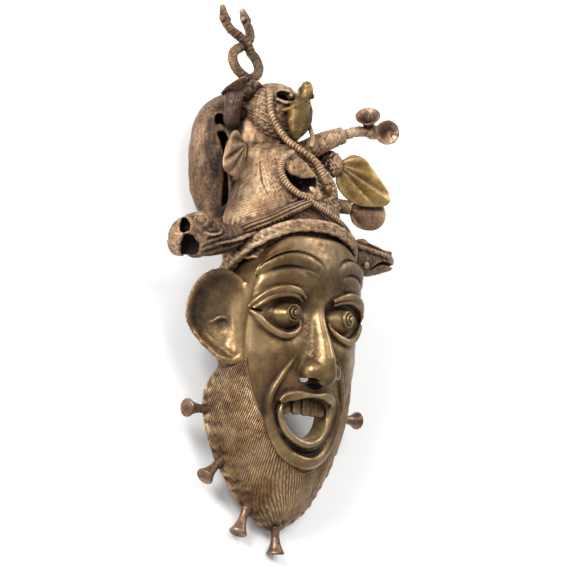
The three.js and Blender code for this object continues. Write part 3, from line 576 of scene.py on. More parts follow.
def buildBeard():
    turn = np.pi * np.linspace(0.985, 2.015, 720)
    share = np.linspace(0.985, 2.0, 118)
    u, v = np.meshgrid(turn, share)
    outer, normal = shellPoint(u, v), shellNormal(u, v)
    bald = smoothStep(1.72, 1.95, v + 0.16 * waves(outer, 20, 12)) * smoothStep(-60, -80, outer[..., 1])
    edge = smoothStep(0.99, 1.05, v) * (1 - smoothStep(1.97, 2.0, v))
    rough = 0.5 * waves(outer, 10, 8) + 0.28 * waves(outer, 5, 9) + 0.1 * waves(outer, 2.6, 10)
    worn = 0.65 + 0.35 * smoothStep(-0.5, 0.4, waves(outer, 24, 13))
    relief = 0.3 + edge * (hair["deep"] * hairRelief(outer) * (1 - bald) * worn + rough * (0.3 + 1.3 * bald))
    ends = smoothStep(0.985 * np.pi, 1.035 * np.pi, u) * smoothStep(2.015 * np.pi, 1.965 * np.pi, u)
    front = outer + normal * (relief - 2.8 * (1 - ends))[..., None]
    front[..., 0:2] *= 1 + 0.006 * (waves(outer, 13, 14) * smoothStep(1.5, 2, v))[..., None]
    back = (outer - normal * 3.0)[::-8]
    back[..., 2] = np.maximum(back[..., 2], face["rimBack"] + 0.2)
    return closedRings(np.transpose(np.concatenate([front, back]), (1, 0, 2)))


# ---- the headdress
headdress = {
    "column": [(14, 62, 47, -20), (36, 61, 48, -28), (53, 55, 46, -28), (68, 49, 44, -26), (80, 43, 42, -24), (93, 38, 38, -22), (104, 34, 32, -20), (112, 27, 22, -16)],
    "farSide": [(14, 52, 42, -20), (36, 51, 43, -28), (56, 49, 41, -28), (80, 46, 38, -24), (93, 40, 34, -22), (103, 30, 26, -18)],
    "neck": [(84, 38, 20, -26), (98, 35, 15, -28), (112, 33, 12, -29), (128, 31, 8, -29), (142, 27, 4, -27)],
    "columnHollow": [(-20, 52, 38, -40), (20, 53, 40, -36), (50, 40, 34, -30), (80, 34, 27, -30), (100, 28, 20, -30), (118, 10, 10, -20)],
    "hood": [(52, 42, -12, -54), (70, 50, -10, -62), (88, 54, -5, -67), (112, 55, 0, -68), (130, 52, -2, -66), (145, 45, -7, -63), (157, 30, -16, -58), (164, 14, -28, -52)],
    "hoodHollow": [(60, 35, -14, -48), (72, 43, -12, -55), (90, 47, -10, -60), (112, 48, -6, -61), (130, 45, -8, -59), (144, 36, -14, -55), (154, 18, -26, -48)],
    "panelArc": [(-16.3, 95), (-15.5, 86), (-13.5, 77), (-7, 67)],
    "band": [(57, 0, 1), (59, 10, 9), (58.5, 23, 29), (45, 34, 44), (20, 41.5, 50), (0, 42.5, 52)],
}
dome = {"y": 140, "z": -2, "radius": 27.5, "wall": 6}


# the slot between hood and column: an outline seen along a slant of 45 degrees, carried inward
def slotCut(side, outline):
    outline = np.array(outline, float)
    count = len(outline)
    ring = curvePoint(np.vstack([outline, outline[:3]]), (1 + np.arange(80) / 80 * count) / (count + 2))
    depth = np.linspace(-12, 40, 40)[:, None]
    a = ring[None, :, 0]
    x, z = (a - depth) * np.sqrt(0.5), (a + depth) * np.sqrt(0.5)
    return closedRings(np.stack([-side * x, np.broadcast_to(ring[None, :, 1], x.shape), z], -1))


# two open gaps with a bar of metal between them, and a narrower crease below
slots = [[(-47, 137), (-43.5, 138.5), (-40, 136), (-38.5, 131), (-40.5, 128.5), (-44, 130), (-46.5, 129.5)],
         [(-45.5, 122), (-41, 123.5), (-38, 120), (-37, 113), (-39.5, 106), (-42, 109.5), (-43.5, 116)],
         [(-40.5, 97), (-38.5, 93), (-37.5, 84), (-37, 75), (-38.5, 66), (-41.5, 64), (-42, 74), (-40.5, 86)]]


def boxMesh(low, high, step=4.0):
    low, high = np.asarray(low, float), np.asarray(high, float)
    corners = np.array([(low[0], low[1]), (high[0], low[1]), (high[0], high[1]), (low[0], high[1]), (low[0], low[1])])
    at = np.linspace(0, 4, 64, endpoint=False)
    ring = np.stack([np.interp(at, np.arange(5), corners[:, k]) for k in range(2)], 1)
    z = np.arange(low[2], high[2] + step, step)
    z[-1] = high[2]
    grid = np.concatenate([np.broadcast_to(ring[None], (len(z),) + ring.shape), np.broadcast_to(z[:, None, None], (len(z), len(ring), 1))], -1)
    return closedRings(grid)


# the near side's own flat place: a slants forward from the side, so it runs across the headdress from hood to front
def slant(points):
    return points[:, 2] - np.abs(points[:, 0])


def hollowParts():
    return [stack(headdress["columnHollow"]), stack(headdress["hoodHollow"]), ball((0, dome["y"], dome["z"]), dome["radius"] - dome["wall"])]


def hoodRelief(points, normals):
    streaks = waves(points * (1, 0.16, 1), 2.2, 41, 11) * 0.16 + waves(points * (1, 0.3, 1), 6, 42) * 0.2
    return streaks * smoothStep(66, 84, points[:, 1]) + 0.5 * waves(points, 16, 43)


def buildHood():
    field = newField((-70, 40, -76), (70, 172, 10), 0.9)
    stamp(field, stack(headdress["hood"]))
    stamp(field, hollowParts(), cut=True)
    stamp(field, [slotCut(s, o) for s in sides for o in slots], cut=True, soft=2.5)
    stamp(field, boxMesh((-80, -60, -90), (80, 50, face["rimBack"])), cut=True, soft=0.5)
    return raised(surfaceOf(field), hoodRelief)


# fibres run down the column, lines lie level at its foot, a hatched panel stands behind the loop and beads cover the front
def columnRelief(points, normals):
    a, y = np.where(points[:, 0] > 0, points[:, 2] + 10, points[:, 2] + points[:, 0]), points[:, 1]
    fibres = waves(points * (1, 0.16, 1), 2.3, 51, 11) * 0.2 + waves(points * (1, 0.3, 1), 6, 52) * 0.35
    foot = smoothStep(68, 60, y)
    level = 0.13 * np.sin(2 * np.pi * (y - 0.22 * a) / 2.2 + 0.8 * waves(points, 20, 54)) * foot
    arc = lineDistance(a, y, headdress["panelArc"])
    inPanel = smoothStep(-18, -15, a) * smoothStep(12, 8, a) * smoothStep(64, 70, y) * smoothStep(104, 98, y)
    strokes = np.abs(np.sin(np.pi * (y - 0.9 * a + 1.2 * waves(points, 9, 56)) / 2.7))
    hatch = -1.3 * np.exp(-(strokes / 0.45) ** 2) * smoothStep(-0.6, 0.1, waves(points, 6, 57)) + 0.25 * waves(points, 3, 55)
    beads = smoothStep(14, 22, a) * (np.clip(waves(points, 3.0, 53, 11), -0.3, 1) * 1.3 + 0.3)
    rough = (0.4 * waves(points, 7, 58) + 0.22 * waves(points, 2.6, 59)) * smoothStep(52, 44, y)
    return (rough + fibres * (1 - inPanel) * (1 - 0.6 * foot) + level + hatch * inPanel - 0.9 * np.exp(-(arc / 0.8) ** 2)
            + beads * (1 - inPanel) * smoothStep(58, 66, y))


def buildColumn():
    field = newField((-74, -10, -34), (74, 152, 62), 0.8)
    stamp(field, stack(headdress["column"]))
    farSide, tris = stack(headdress["farSide"])
    stamp(field, [stack(headdress["neck"]), (farSide + (9, 0, 0), tris)], soft=3.0)
    band = [*headdress["band"], *[(-x, y, z) for x, y, z in headdress["band"][:-1][::-1]]]
    stamp(field, sweep(band, lambda t: (2.7 + 4.3 * np.abs(2 * t - 1) ** 2.5, 5.4), up=(0, 1, 0), shape=squared), soft=0.6)
    stamp(field, ball((46, 104, 16), 11, 11, 12), soft=4.0)
    stamp(field, hollowParts(), cut=True)
    stamp(field, faceBlock(face["wall"], -100), cut=True)
    stamp(field, [slotCut(s, o) for s in sides for o in slots], cut=True, soft=2.5)
    stamp(field, ball((-9, 81, 40), 15, 11, 20), cut=True, soft=1.0)
    stamp(field, boxMesh((-80, -60, -90), (80, 50, face["rimBack"])), cut=True, soft=0.5)
    return raised(surfaceOf(field), columnRelief)


# strokes stand in upright rows round the dome, rougher toward its foot
def domeRelief(points, normals):
    around = np.arctan2(np.abs(points[:, 0]), points[:, 2] - dome["z"]) * dome["radius"]
    y = points[:, 1]
    strokes = 0.55 * herringbone(y + 0.9 * waves(points, 9, 64), around + 2.5 * waves(points, 22, 61), 2.5, 7.5, 1.3) * (0.6 + 0.4 * waves(points, 11, 65))
    a = slant(points)
    high = smoothStep(159, 150, y) * np.maximum(smoothStep(-34, -28, a) * smoothStep(-6, -13, a), smoothStep(136, 128, y))
    return strokes * high + 0.15 * waves(points * (1, 0.3, 1), 2.4, 66) + 0.35 * waves(points, 5, 62) + 0.6 * smoothStep(134, 120, y) * waves(points, 3, 63)


def buildDome():
    field = newField((-32, 108, -34), (32, 172, 34), 0.6)
    centre = (0, dome["y"], dome["z"])
    stamp(field, ball(centre, dome["radius"] - 0.4))
    stamp(field, ball(centre, dome["radius"] - dome["wall"]), cut=True)
    stamp(field, [ball((-8, 152, 22), 8, 5.6, 9)], cut=True, soft=1.5)
    stamp(field, sweep([(-17, 148.5, 18), (-11, 145.5, 24.5), (-4, 146, 27.5)], lambda t: (1.6 + 0 * t, 1.6), round_=2), soft=0.8)
    stamp(field, stack(headdress["hoodHollow"]), cut=True)
    return raised(surfaceOf(field), domeRelief)


# ---- serpents laid over the headdress, with ticks across their backs
serpent = {
    "radius": 2.8, "tick": 2.5,
    "upper": [(-14, 158, 6), (-20, 152.6, 15), (-21.9, 138.3, 18), (-19, 124.5, 23), (-15, 113, 30), (-6.7, 105, 37), (4.5, 95.4, 42), (10.4, 84.8, 44.5), (13.5, 79, 45)],
    "beside": [(4.5, 140, 30), (7, 129, 32), (6.5, 119, 36.5), (1, 108.5, 41)],
    "loop": [(-18, 102, 40), (-27, 96, 38), (-31, 86, 38), (-27, 75, 41), (-18, 67, 45.5), (-6, 61, 49), (7, 56, 50), (21, 50, 50), (38, 44, 44), (54, 38, 33)],
    "lower": [(-8, 61.5, 47.5), (-18, 57.5, 47), (-29, 52, 44), (-46, 43, 38), (-58, 37, 29), (-66, 32, 22)],
}
bigHeads = [
    {"side": -1, "eye": (100.5, 37, 20.5, 9.2), "blunt": 4, "talls": [6, 11, 15, 18, 15.5, 10, 5.5], "deeps": [8, 11, 13, 13, 12, 9.5, 6.5],
     "line": [(54, 34, 25), (72, 29, 21), (88, 28, 18), (100, 28, 16), (110, 24.5, 13), (116, 19.5, 11), (120.5, 16.5, 9)]},
    {"side": 1, "eye": (75, 40.5, 25, 5.2), "blunt": 2, "talls": [9, 13, 13.5, 11, 8.5, 7.5], "deeps": [9, 12, 12, 10, 8, 6],
     "line": [(52, 32, 27), (68, 28.5, 25), (82, 27.5, 22.5), (98, 28.5, 20), (110, 29.5, 19), (116.5, 29.5, 18.5)]},
]
# the near head's two hollows, seen from the near side: a middle, half width and half height
gapes = [((-112, 34.3, 16), 3.9, 5.8), ((-109.5, 18.8, 18.5), 7.0, 8.4)]
nearWay = np.array([-0.7, -0.14, 0.7])


# radius of a ticked rope: one groove every tick along it, leaning across its back
def ticks(spacing, deep, lean=0.0):
    def shape(along, turn):
        groove = np.abs(np.sin(np.pi * (along / spacing + lean * np.sin(turn))))
        return 1 + deep * (groove ** 0.6 - 0.85)
    return shape


# a broad serpent has ridges along its back and a line of beads between them
def ridged(along, turn):
    beads = np.exp(-((np.mod(turn - 1.05 + np.pi, 2 * np.pi) - np.pi) / 0.16) ** 2) * np.abs(np.sin(np.pi * along / 2.6)) ** 0.7
    return 1 + 0.08 * np.cos(9 * turn) + 0.22 * beads


def buildSerpents():
    r = serpent["radius"]
    rope = ticks(serpent["tick"], 0.28, 0.3)
    parts = [
        sweep(serpent["upper"], lambda t: (r + 0 * t, r), step=0.45, shape=rope, round_=3),
        sweep(serpent["beside"], lambda t: (r - 0.8 + 0 * t, r - 0.8), step=0.45, shape=rope, round_=2),
        sweep(serpent["loop"], lambda t: (r + 0 * t, r), step=0.45, shape=rope, round_=3),
        sweep(serpent["lower"], lambda t: (r + 2.6 * t ** 0.5, r + 3.6 * t ** 0.5), step=0.5, around=96, shape=ridged, round_=3),
    ]
    return joined(parts)


def joined(parts):
    points = np.concatenate([p for p, _ in parts])
    starts = np.cumsum([0, *[len(p) for p, _ in parts[:-1]]])
    return points, np.concatenate([t + s for (_, t), s in zip(parts, starts)])


def headRelief(points, normals):
    x, y, z = points.T
    near = smoothStep(104, 97, np.abs(x)) * smoothStep(0, -4, x)
    folds = np.sin(2 * np.pi * (y + 0.35 * np.abs(x)) / 4.6 + 1.1 * waves(points, 18, 71))
    return 0.5 * folds * near * smoothStep(33, 29, y + 6 * smoothStep(90, 84, np.abs(x))) + 0.28 * waves(points, 5, 72) + 0.12 * waves(points, 2.5, 73)


# a beaded cord: round swellings every step along it
def beaded(spacing):
    return lambda along, turn: 0.72 + 0.45 * np.abs(np.sin(np.pi * along / spacing)) ** 0.8 + 0 * turn


def buildBigHeads():
    field = newField((-130, 0, -10), (124, 60, 46), 0.7)
    for h in bigHeads:
        s = h["side"]
        spine = [(s * x, y, z) for x, y, z in h["line"]]
        stamp(field, sweep(spine, lambda t: (blend(h["talls"], t), blend(h["deeps"], t)), around=60, round_=h["blunt"]))
        ex, ey, ez, size = h["eye"]
        centre = np.array([s * ex, ey, ez])
        gaze = np.array([s * 0.6 if s < 0 else -0.2, 0.15, 0.8])
        stamp(field, ball(centre, size, size * (1 if s < 0 else 0.75), size * (1 if s < 0 else 1.3)), soft=1.0)
        rim = [(r * size * 0.1, size * 0.98 - d) for r, d in ((0, 4), (6.2, 4), (6.4, 1.4), (5.4, 0.5), (4.6, 1.6), (3.4, 1.0), (1.8, -0.2), (0, -0.4))]
        stamp(field, turned(rim, centre, gaze, around=48), soft=0.2)
    # a lid under the near eye, ridges along the far head, a ball at its cheek
    stamp(field, sweep([(-105, 30.5, 23), (-100, 28, 28.5), (-92, 28.5, 31), (-86, 33, 30)], lambda t: (1.7 * fade(0.4)(t), 2.2 * fade(0.4)(t))), soft=0.6)
    stamp(field, sweep([(-88, 22, 29), (-78, 24, 31.5), (-66, 29, 34), (-54, 34, 36)], lambda t: (1.8 * fade(0.3)(t), 2.0)), soft=0.8)
    stamp(field, sweep([(55, 36, 36), (66, 34.5, 36), (77, 33.5, 35), (90, 33, 31.8), (104, 32.5, 28)], lambda t: (2.2 + 0 * t, 2.0), shape=beaded(2.6), step=0.4), soft=0.3)
    stamp(field, sweep([(80, 40.5, 28), (91, 38.5, 28), (103, 37, 25), (113, 37.5, 21)], lambda t: (1.3 + 0 * t, 1.6), round_=1), soft=0.5)
    stamp(field, [ball((115, 37.5, 20), 2.6, 2.0, 3.0), ball((70.5, 21.5, 34.5), 3, 3, 3)], soft=0.5)
    stamp(field, sweep([(80, 19, 36), (86, 22.5, 34), (96, 26, 31), (106, 26.4, 29), (122, 25.4, 26)], lambda t: (1.2 + 0 * t, 8.0), around=36), cut=True, soft=0.5)
    for middle, wide, tall in gapes:
        middle = np.array(middle, float)
        stamp(field, sweep([middle - 9 * nearWay, middle, middle + 22 * nearWay], lambda t: (wide + 0 * t, tall), around=48, up=(0, 1, 0), round_=5,
                           shape=lambda along, turn: 1 + 0.1 * np.cos(3 * turn + 0.8) + 0.05 * np.sin(7 * turn) + 0 * along), cut=True, soft=0.8)
    return raised(surfaceOf(field), headRelief)


# ---- the hanging ring of two serpents
ring = {"y": 190, "z": -34, "wide": 14.6, "tall": 12.8, "radius": 4.1, "lean": 0.25}
ringNecks = {
    1: [(4, 207, -36.5), (-1, 213, -39.5), (-9, 217.5, -41.5), (-14, 222.5, -42.5), (-15.6, 228, -43.5), (-16.6, 233.5, -43.8), (-17.6, 238.6, -44)],
    -1: [(4, 207, -40), (11, 213.5, -40.5), (12, 221, -42), (9.6, 227.5, -43.3), (8, 231.5, -43.6), (6, 236, -43.8), (4.4, 239.2, -44)],
}


# each serpent comes up from the hood, goes round one side, crosses the other and ends in a narrow head with eye bumps
def buildRing():
    def tilt(x, y):
        return (x, ring["y"] + y, ring["z"] - ring["lean"] * y)
    field = newField((-34, 152, -58), (36, 248, -14), 0.6)
    for s in sides:
        line = [tilt(-4 * s, -26), tilt(s, -15)]
        for k in range(1, 7):
            turn = s * np.pi * (0.1 + 0.8 * k / 7)
            line.append(tilt(ring["wide"] * np.sin(turn), -ring["tall"] * np.cos(turn)))
        r = ring["radius"]
        radii = [r] * len(line) + [r, r * 0.97, r * 0.93, r * 0.9, r * 1.05, r * 0.72, r * 0.5]
        line += ringNecks[s]
        stamp(field, sweep(line, lambda t: (blend(radii, t), blend(radii, t)), step=0.45, around=40, shape=ticks(2.6, 0.12, 0.3), round_=1), soft=0.4)
        x, y, z = ringNecks[s][-3]
        stamp(field, [ball((x + d, y - 1.5, z + 1.5), 2.1, 2.6, 2.2, step=0.4) for d in (-3.4, 3.4)], soft=0.4)
    return raised(surfaceOf(field), lambda p, n: 0.22 * waves(p, 4, 91) + 0.12 * waves(p, 2, 92))


# ---- arms with cups
cup = {"neck": 3.2, "mouth": 10.5}


def cupParts(root, place, m):
    root, place = np.asarray(root, float), np.asarray(place, float)
    length = np.linalg.norm(place - root)
    profile = [(0, 0), (cup["neck"], 0), (cup["neck"] + 0.6, length * 0.35), (m * 0.62, length * 0.72), (m, length - 0.4), (m - 0.5, length), (m - 1.6, length - 0.4),
               (m * 0.5, length * 0.8), (0, length * 0.62)]
    return turned(profile, root, place - root, around=56)


def buildArms():
    far = [(10, 100, 2), (24, 113, 15), (38, 122, 24), (50, 127, 29), (61, 131, 34), (72, 132, 38)]
    field = newField((-6, 84, -14), (90, 160, 56), 0.6)
    stamp(field, sweep(far, lambda t: (np.where(t < 0.6, 10.5 - 6 * t, 4.4), np.where(t < 0.6, 10.5 - 6 * t, 4.4)), around=48, step=0.6))
    stamp(field, ball((76, 132, 39), 9, 6, 7), soft=1.5)
    return raised(surfaceOf(field), lambda p, n: 0.3 * waves(p * (1, 0.4, 1), 4, 81) + 0.2 * waves(p, 2.4, 82))


def buildCups():
    near = [(-26, 122, -20), (-33, 126, -14), (-39, 132, -9.5), (-40, 143, -7), (-36.5, 158.5, -8)]
    field = newField((-60, 92, -28), (104, 176, 66), 0.6)
    stamp(field, sweep(near, lambda t: (blend([3, 4.5, 6.8, 7.2, 8.4], t), blend([3, 4.5, 5.6, 5.6, 4.5], t)), up=nearWay, around=64, shape=lambda along, turn: 1 + 0.02 * np.cos(17 * turn) + 0 * along), soft=1.0)
    stamp(field, [sweep([(-22, 136, -12), (-39, 139, -8)], lambda t: (5 + 0 * t, 6)), ball((-29, 156, -6), 7.5)], soft=1.0)
    m = cup["mouth"]
    cups = [((74, 133, 36), (63, 143, 45), m), ((84, 133, 43), (78, 130, 53), m), ((-33, 149.5, -3), (-37.5, 160.5, -8.5), m + 2.5), ((-27, 151, -4), (-17, 163, -3), 6.8)]
    for root, place, size in cups:
        stamp(field, cupParts(root, place, size), soft=0.6)
    return raised(surfaceOf(field), lambda p, n: 0.2 * waves(p, 6, 83) + 0.1 * waves(p, 2.5, 88))


# ---- leaves
leafShape = {
    "turn": 0.426, "thick": 5, "fold": 3,
    "broad": [(34, 14), (14, 24), (-10, 34), (-25, 48), (-34, 51), (-48, 42), (-66, 32), (-92, 14)],
    "small": [(40, 14), (18, 26), (0, 34), (-25, 34), (-48, 24), (-70, 12)],
    "hanging": [(-30, 12), (-50, 26), (-66, 36), (-84, 38), (-100, 24)],
}


# a fan-shaped leaf: reach by direction from a smooth outline, folds running out from the root, thin at its edge
def leafParts(side, place, turn, tilt, outline, folds):
    o = np.asarray(outline, float)
    p = np.vstack([o[:1], o, o[-1:]])
    spread = np.r_[np.linspace(0.01, 0.99, 60), np.linspace(0.99, 0.01, 60)]
    at = spread * (len(o) - 1)
    k = np.minimum(at.astype(int), len(o) - 2)
    w = (at - k)[:, None]
    a, b, c, d = p[k], p[k + 1], p[k + 2], p[k + 3]
    v0, v1 = (c - a) / 2, (d - b) / 2
    edge = b + v0 * w + (3 * (c - b) - 2 * v0 - v1) * w ** 2 + (2 * (b - c) + v0 + v1) * w ** 3
    angle = np.radians(edge[:, 0])[None]
    v = np.linspace(0.02, 1, 56)[:, None]
    reach = edge[:, 1][None] * v
    front = (np.arange(120) < 60)[None]
    depth = np.sqrt(np.sin(np.pi * spread)[None] * (1 - v ** 4))
    fold = np.where(front, leafShape["fold"] * 1.3 * v ** 0.7 * (np.abs(np.sin(np.pi * folds * spread))[None] ** 0.8 - 0.5), 0)
    high = np.where(front, 1, -1) * leafShape["thick"] / 2 * depth + fold * depth
    x, y, z = np.cos(angle) * reach, np.sin(angle) * reach, high
    y, z = y * np.cos(tilt) - z * np.sin(tilt), y * np.sin(tilt) + z * np.cos(tilt)
    x, z = x * np.cos(turn) - z * np.sin(turn), x * np.sin(turn) + z * np.cos(turn)
    return closedRings(np.stack([side * (x + place[0]), y + place[1], z + place[2]], -1))


def buildLeaves():
    field = newField((-4, 30, -24), (112, 122, 60), 0.8)
    stamp(field, leafParts(1, (52, 105, 19), leafShape["turn"], 0, [(t, r * 1.1) for t, r in leafShape["broad"]], 4.5))
    return surfaceOf(field)


# the near leaf and the two that hang behind are dull and brown
def buildDullLeaves():
    field = newField((-110, 30, -74), (112, 122, 60), 0.8)
    parts = [leafParts(-1, (51, 107, 17), leafShape["turn"], 0, [(t, r * 0.97) for t, r in leafShape["broad"]], 4.5),
             sweep([(-33, 116, -10), (-39, 109, -4), (-45, 101, 1), (-50.5, 92, 6), (-54.5, 83, 9)], lambda t: (blend([8, 9, 9, 6, 1.5], t), 2.6 - 1.2 * t),
                   up=nearWay, around=48, shape=lambda along, turn: 1 + 0.25 * np.exp(-((turn - 1.2 - 0.03 * along) / 0.25) ** 2), round_=1),
             leafParts(1, (65, 70, 20), leafShape["turn"], 0.2, leafShape["small"], 2.5),
             sweep([(40, 73, 12), (53, 71, 16), (66, 70, 21)], lambda t: (6 + 0 * t, 5)),
             *[leafParts(s, (38, 106, -36), -0.79, 0, leafShape["hanging"], 2.5) for s in sides]]
    stamp(field, parts, soft=1.5)
    return surfaceOf(field)


# ---- the bird before the dome, and the flaps in the opening
# its body is a leaf that hangs to a point, ridged down its middle, with a raised edge at the shoulder and a narrow head
def buildBird():
    field = newField((-34, 58, 6), (34, 176, 62), 0.6)
    spine = [(2.5, 148.5, 30), (0.5, 142, 30.5), (-2.5, 134, 31), (-5.5, 126, 31.5), (-7.8, 119, 32.5), (-8.8, 113.5, 34)]
    keel = lambda along, turn: 1 + 0.12 * np.exp(-((turn - np.pi / 2) / 0.35) ** 2) + 0 * along
    stamp(field, sweep(spine, lambda t: (blend([6.5, 10.5, 12.2, 10.5, 6.3, 1.2], t), blend([5.5, 8, 8.5, 7, 5, 1.2], t)), up=(0, 0, 1), around=56, shape=keel, round_=2))
    stamp(field, sweep([(-15.7, 139, 23), (-13.6, 138.6, 29.5), (-10, 141.7, 33.5), (-1.5, 146.5, 36)], lambda t: (1.9 + 0 * t, 1.7), round_=1), soft=0.8)
    stamp(field, sweep([(0.4, 145, 31), (1.5, 150, 33), (2.9, 155, 33.5), (3, 160, 33.5), (2.9, 163.5, 33)], lambda t: (blend([5.5, 5, 5.8, 4.8, 2.6], t), blend([5.5, 5, 5.4, 4.6, 2.6], t)), up=(1, 0, 0), round_=1), soft=1.2)
    stamp(field, [ball((6.6, 151.5, 36), 2.2, 2.4, 2.4), ball((-2.5, 152.4, 22.5), 3, 3, 3)], soft=0.5)
    stamp(field, [sweep([(x, 148, z), (x + 0.5, 160 - abs(x), z + 1)], lambda t: (1.5 + 0 * t, 1.5), around=16, round_=1) for x, z in ((-3.2, 30), (-0.5, 28.5))], soft=0.4)
    stamp(field, [ball((14.5, 75.5, 46), 3.2, 4.2, 3.2), ball((16, 72, 46.5), 2.2, 2.8, 2.2)], soft=1.0)
    return raised(surfaceOf(field), lambda p, n: 0.06 * waves(p, 5, 84) + 0.05 * waves(p, 2.5, 85))


# two flaps of metal in the opening, and the rough stub below them
def buildFlaps():
    field = newField((-34, 58, 16), (24, 108, 60), 0.6)
    stamp(field, sweep([(-24, 95, 34), (-16, 92, 37.5), (-7, 88, 41), (2, 84.5, 44)], lambda t: (blend([5, 8.5, 7, 1.5], t), blend([2.5, 3, 2.5, 1.2], t)), around=48, round_=2), soft=0.4)
    stamp(field, sweep([(7, 66, 44), (3, 71, 43.5), (-2, 76, 41)], lambda t: (blend([5, 4.5, 1.2], t), blend([3, 2.5, 1.2], t)), around=40, round_=2), soft=0.4)
    return raised(surfaceOf(field), lambda p, n: 0.35 * waves(p, 7, 86) + 0.2 * waves(p, 3, 87))


def buildBells():
    b = bell
    profile = [(0, -4), (b["root"], -3), (b["neck"] + 0.3, 1), (b["neck"], 5), (b["neck"] + 0.8, 10), (b["neck"] + 2.1, 14), (b["mouth"], b["length"] - 1.6),
               (b["mouth"], b["length"] - 0.6), (b["mouth"] - 0.7, b["length"]), (b["mouth"] - 1.6, b["length"] - 0.5), (0, b["length"] - 1)]
    return joined([turned(profile, (x, y, 1), (np.cos(np.radians(a)), np.sin(np.radians(a)), 0), around=56) for x, y, a in b["places"]])


# ---- making the pieces

made = {}
for name, build in (("faceShell", buildFace), ("pupils", buildPupils), ("beardHair", buildBeard), ("headdressHood", buildHood), ("headdressColumn", buildColumn), ("headdressDome", buildDome), ("serpentRopes", buildSerpents),
                    ("serpentHeads", buildBigHeads), ("hangingRing", buildRing), ("arms", buildArms), ("cups", buildCups), ("leaves", buildLeaves), ("dullLeaves", buildDullLeaves),
                    ("bird", buildBird), ("flaps", buildFlaps), ("bells", buildBells)):
    made[name] = build()
    print("shape", name, len(made[name][1]), "triangles")


# a blurred share of solid round each point, in two reaches: above a half in a hollow, below it on an edge
def cavityMaps(meshes, voxel=1.6, reaches=(2.2, 8.0)):
    low = np.floor(np.array([p.min(0) for p, _ in meshes]).min(0) / voxel).astype(int) - 12
    high = np.ceil(np.array([p.max(0) for p, _ in meshes]).max(0) / voxel).astype(int) + 12
    whole = np.zeros(high - low, np.float32)
    ruler = openvdb.createLinearTransform(voxelSize=voxel)
    for points, tris in meshes:
        grid = openvdb.FloatGrid.createLevelSetFromPolygons(points.astype(np.float32), triangles=tris.astype(np.uint32), transform=ruler, halfWidth=3.0)
        part = np.empty(whole.shape, np.float32)
        grid.copyToArray(part, ijk=tuple(int(v) for v in low))
        whole = np.maximum(whole, np.clip(0.5 - part / voxel, 0, 1))
    spectrum = np.fft.rfftn(whole)
    maps = []
    for reach in reaches:
        seen = spectrum
        for axis, n in enumerate(whole.shape):
            freq = np.fft.rfftfreq(n) if axis == 2 else np.fft.fftfreq(n)
            fall = np.exp(-2 * (np.pi * freq * reach / voxel) ** 2)
            seen = seen * fall.reshape([-1 if k == axis else 1 for k in range(3)])
        maps.append((np.fft.irfftn(seen, whole.shape).astype(np.float32), low, voxel))
    return maps


# how far each point lies below the mean of its neighbours, per square of the distance: positive in a groove
def grooveOf(points, tris, normals, rounds=2):
    i = np.concatenate([tris[:, 0], tris[:, 1], tris[:, 2], tris[:, 1], tris[:, 2], tris[:, 0]])
    j = np.concatenate([tris[:, 1], tris[:, 2], tris[:, 0], tris[:, 0], tris[:, 1], tris[:, 2]])
    count = np.maximum(np.bincount(i, minlength=len(points)), 1)
    mean = np.stack([np.bincount(i, points[j, k], len(points)) for k in range(3)], 1) / count[:, None]
    length = np.bincount(i, ((points[j] - points[i]) ** 2).sum(1), len(points)) / count
    value = ((mean - points) * normals).sum(1) / np.maximum(length, 1e-6) * 4
    value = np.clip(value, -3, 3)
    for _ in range(rounds):
        value = 0.4 * value + 0.6 * np.bincount(i, value[j], len(points)) / count
    return value


# the map's value at the points, straight between its voxels
def sample(field, points):
    values, low, voxel = field
    at = points / voxel - low
    base = np.clip(np.floor(at).astype(int), 0, np.array(values.shape) - 2)
    w = at - base
    total = 0
    for dx in (0, 1):
        for dy in (0, 1):
            for dz in (0, 1):
                share = np.abs(1 - dx - w[:, 0]) * np.abs(1 - dy - w[:, 1]) * np.abs(1 - dz - w[:, 2])
                total = total + share * values[base[:, 0] + dx, base[:, 1] + dy, base[:, 2] + dz]
    return total


# the two maps are painted shade as well as patina: they darken the colour where nearby solid crowds round a point
narrowMap, wideMap = cavityMaps(list(made.values()))
print("cavity maps", narrowMap[0].shape)


# wear runs from -1 on rubbed edges to 1 in hollows, which it darkens with patina and with painted shade from nearby
# parts; stain adds painted shade and stains that the shape alone doesn't tell
def wearAndShadeOf(points, tris, stain, sharp):
    normals = normalsOf(points, tris)
    narrow = sample(narrowMap, points + 0.8 * normals)
    wide = sample(wideMap, points + 3 * normals)
    groove = grooveOf(points, tris, normals)
    wearAndShade = 2.0 * (narrow - 0.40) + 1.3 * (wide - 0.38) + sharp * np.clip(groove, -0.35, 0.9)
    return np.clip(wearAndShade + stain(points, normals), -1, 1)


# how much a surface faces away from the middle's upright axis or point: 1 inside a hollow body, 0 outside it
def facingIn(points, normals, middle, flat=True):
    away = (points - middle) * ((1, 0, 1) if flat else (1, 1, 1))
    away /= np.maximum(np.linalg.norm(away, axis=1), 1e-6)[:, None]
    return smoothStep(0.1, -0.3, (away * normals).sum(1))


cheekLine = [(30, -62), (37, -74), (43, -90), (45, -106), (42, -120)]
